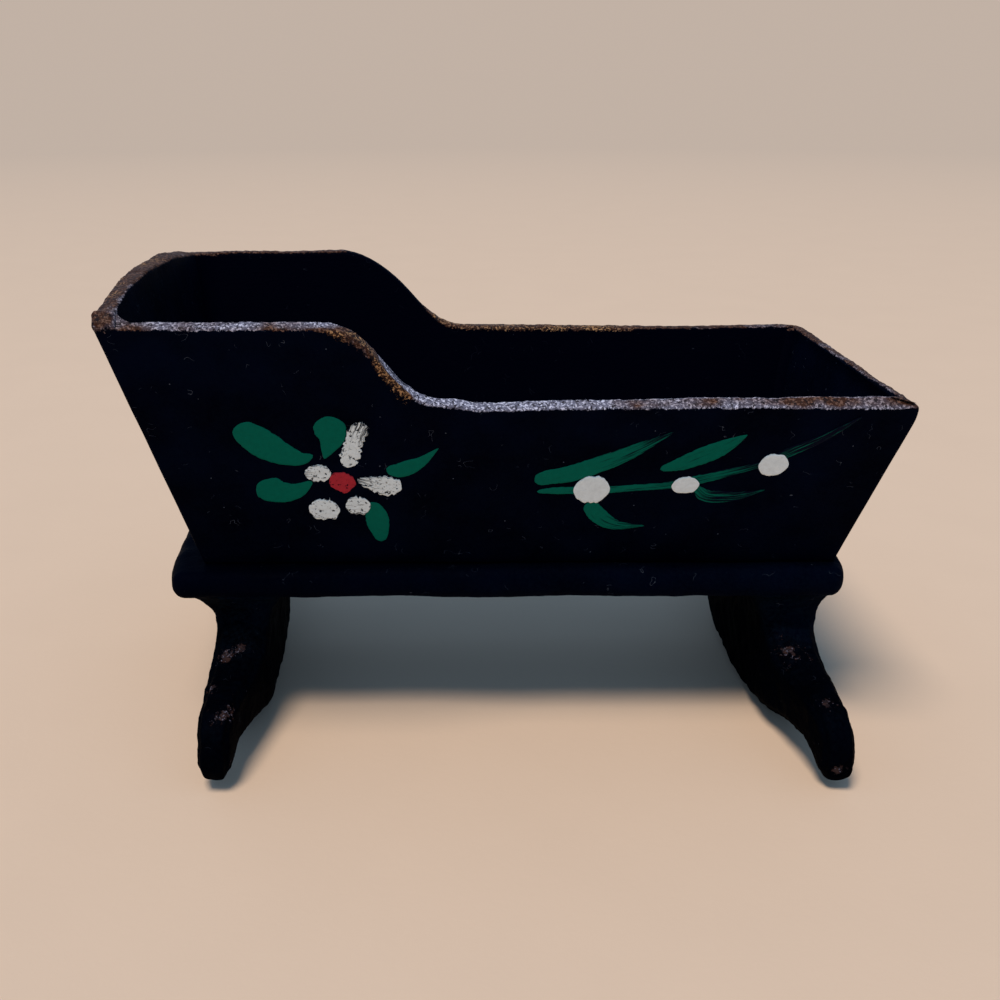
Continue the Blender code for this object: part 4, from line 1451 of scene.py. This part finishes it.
class CRADLE_OT_flower(CradleOperator, bpy.types.Operator):
    """Paint the flower: leaves, petals and heart"""

    bl_idname = "cradle.flower"
    bl_label = "Flower"

    def execute(self, context):
        tub, work, colours = self.settings(context)
        green = stroke_paint("leaf_green", colours.leaf, colours, **LEAF_PAINT)
        white = stroke_paint("petal_white", colours.petal, colours, **PETAL_PAINT)
        red = stroke_paint("heart_red", colours.heart, colours, **HEART_PAINT)
        place = (FLOWER_PLACE, tub, work)
        strokes("flower_leaves", FLOWER_LEAVES, *place, green, coat=0.0, ragged=0.06)
        strokes("flower_petals", FLOWER_PETALS, *place, white, coat=0.8, ragged=0.32, dry=PETAL_DRYNESS)
        strokes("flower_heart", FLOWER_HEART, *place, red, coat=1.2, ragged=0.30)
        return {"FINISHED"}


class CRADLE_OT_sprig(CradleOperator, bpy.types.Operator):
    """Paint the sprig: stem, leaves and berries"""

    bl_idname = "cradle.sprig"
    bl_label = "Sprig"

    def execute(self, context):
        tub, work, colours = self.settings(context)
        green = stroke_paint("sprig_green", colours.leaf, colours, **SPRIG_PAINT)
        white = stroke_paint("berry_white", colours.petal, colours, **BERRY_PAINT)
        place = (SPRIG_PLACE, tub, work)
        strokes("sprig_stem", SPRIG_STEM, *place, green, coat=0.4, ragged=0.18, dry=STEM_DRYNESS)
        strokes("sprig_leaves", SPRIG_LEAVES, *place, green, coat=0.0, ragged=0.08, dry=SPRIG_DRYNESS)
        strokes("sprig_berries", SPRIG_BERRIES, *place, white, coat=1.4, ragged=0.10)
        return {"FINISHED"}


class CRADLE_OT_pins(CradleOperator, bpy.types.Operator):
    """Give the pins inside the boards their finish"""

    bl_idname = "cradle.pins"
    bl_label = "Pins"

    def execute(self, context):
        wire = drawn_wire("drawn_wire", context.scene.cradle_colours)
        for name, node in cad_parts.items():
            if "_pin_" in name:
                node.material_slots[0].material = wire
        return {"FINISHED"}


class CRADLE_OT_stage(CradleOperator, bpy.types.Operator):
    """Set the floor, the lamps and the camera"""

    bl_idname = "cradle.stage"
    bl_label = "Stage"

    def execute(self, context):
        stage, colours = context.scene.cradle_stage, context.scene.cradle_colours
        deselect()
        bpy.ops.mesh.primitive_circle_add(vertices=96, radius=stage.floor_radius, fill_type="NGON")
        floor = bpy.context.object
        floor.name = "floor"
        floor.data.materials.append(pale_floor(stage, colours))
        sky(stage, colours)
        far_lamp("key_lamp", KEY_PLACE, stage.key_power, stage.key_spread, colours.key)
        far_lamp("back_lamp", BACK_PLACE, stage.back_power, stage.back_spread, colours.back)
        camera(stage)
        context.scene.view_settings.view_transform = "Standard"
        return {"FINISHED"}


class CRADLE_PT_build(bpy.types.Panel):
    """Lists the steps that dress the cradle"""

    bl_idname = "CRADLE_PT_build"
    bl_label = "Dollhouse cradle"
    bl_space_type = "VIEW_3D"
    bl_region_type = "UI"
    bl_category = "Cradle"

    def draw(self, context):
        for step in STEPS:
            self.layout.operator(step.bl_idname)


STEPS = (
    CRADLE_OT_sides,
    CRADLE_OT_ends,
    CRADLE_OT_corners,
    CRADLE_OT_base,
    CRADLE_OT_rockers,
    CRADLE_OT_flower,
    CRADLE_OT_sprig,
    CRADLE_OT_pins,
    CRADLE_OT_stage,
)
GROUPS = {
    "cradle_tub": CradleTub,
    "cradle_stand": CradleStand,
    "cradle_work": CradleWork,
    "cradle_colours": CradleColours,
    "cradle_stage": CradleStage,
}


def register():
    for name, group in GROUPS.items():
        bpy.utils.register_class(group)
        setattr(bpy.types.Scene, name, PointerProperty(type=group))
    for made in (*STEPS, CRADLE_PT_build):
        bpy.utils.register_class(made)


def unregister():
    for made in (CRADLE_PT_build, *reversed(STEPS)):
        bpy.utils.unregister_class(made)
    for name, group in GROUPS.items():
        delattr(bpy.types.Scene, name)
        bpy.utils.unregister_class(group)


def main():
    register()
    for step in STEPS:
        getattr(bpy.ops.cradle, step.bl_idname.split(".")[1])()


if __name__ == "__main__":
    main()
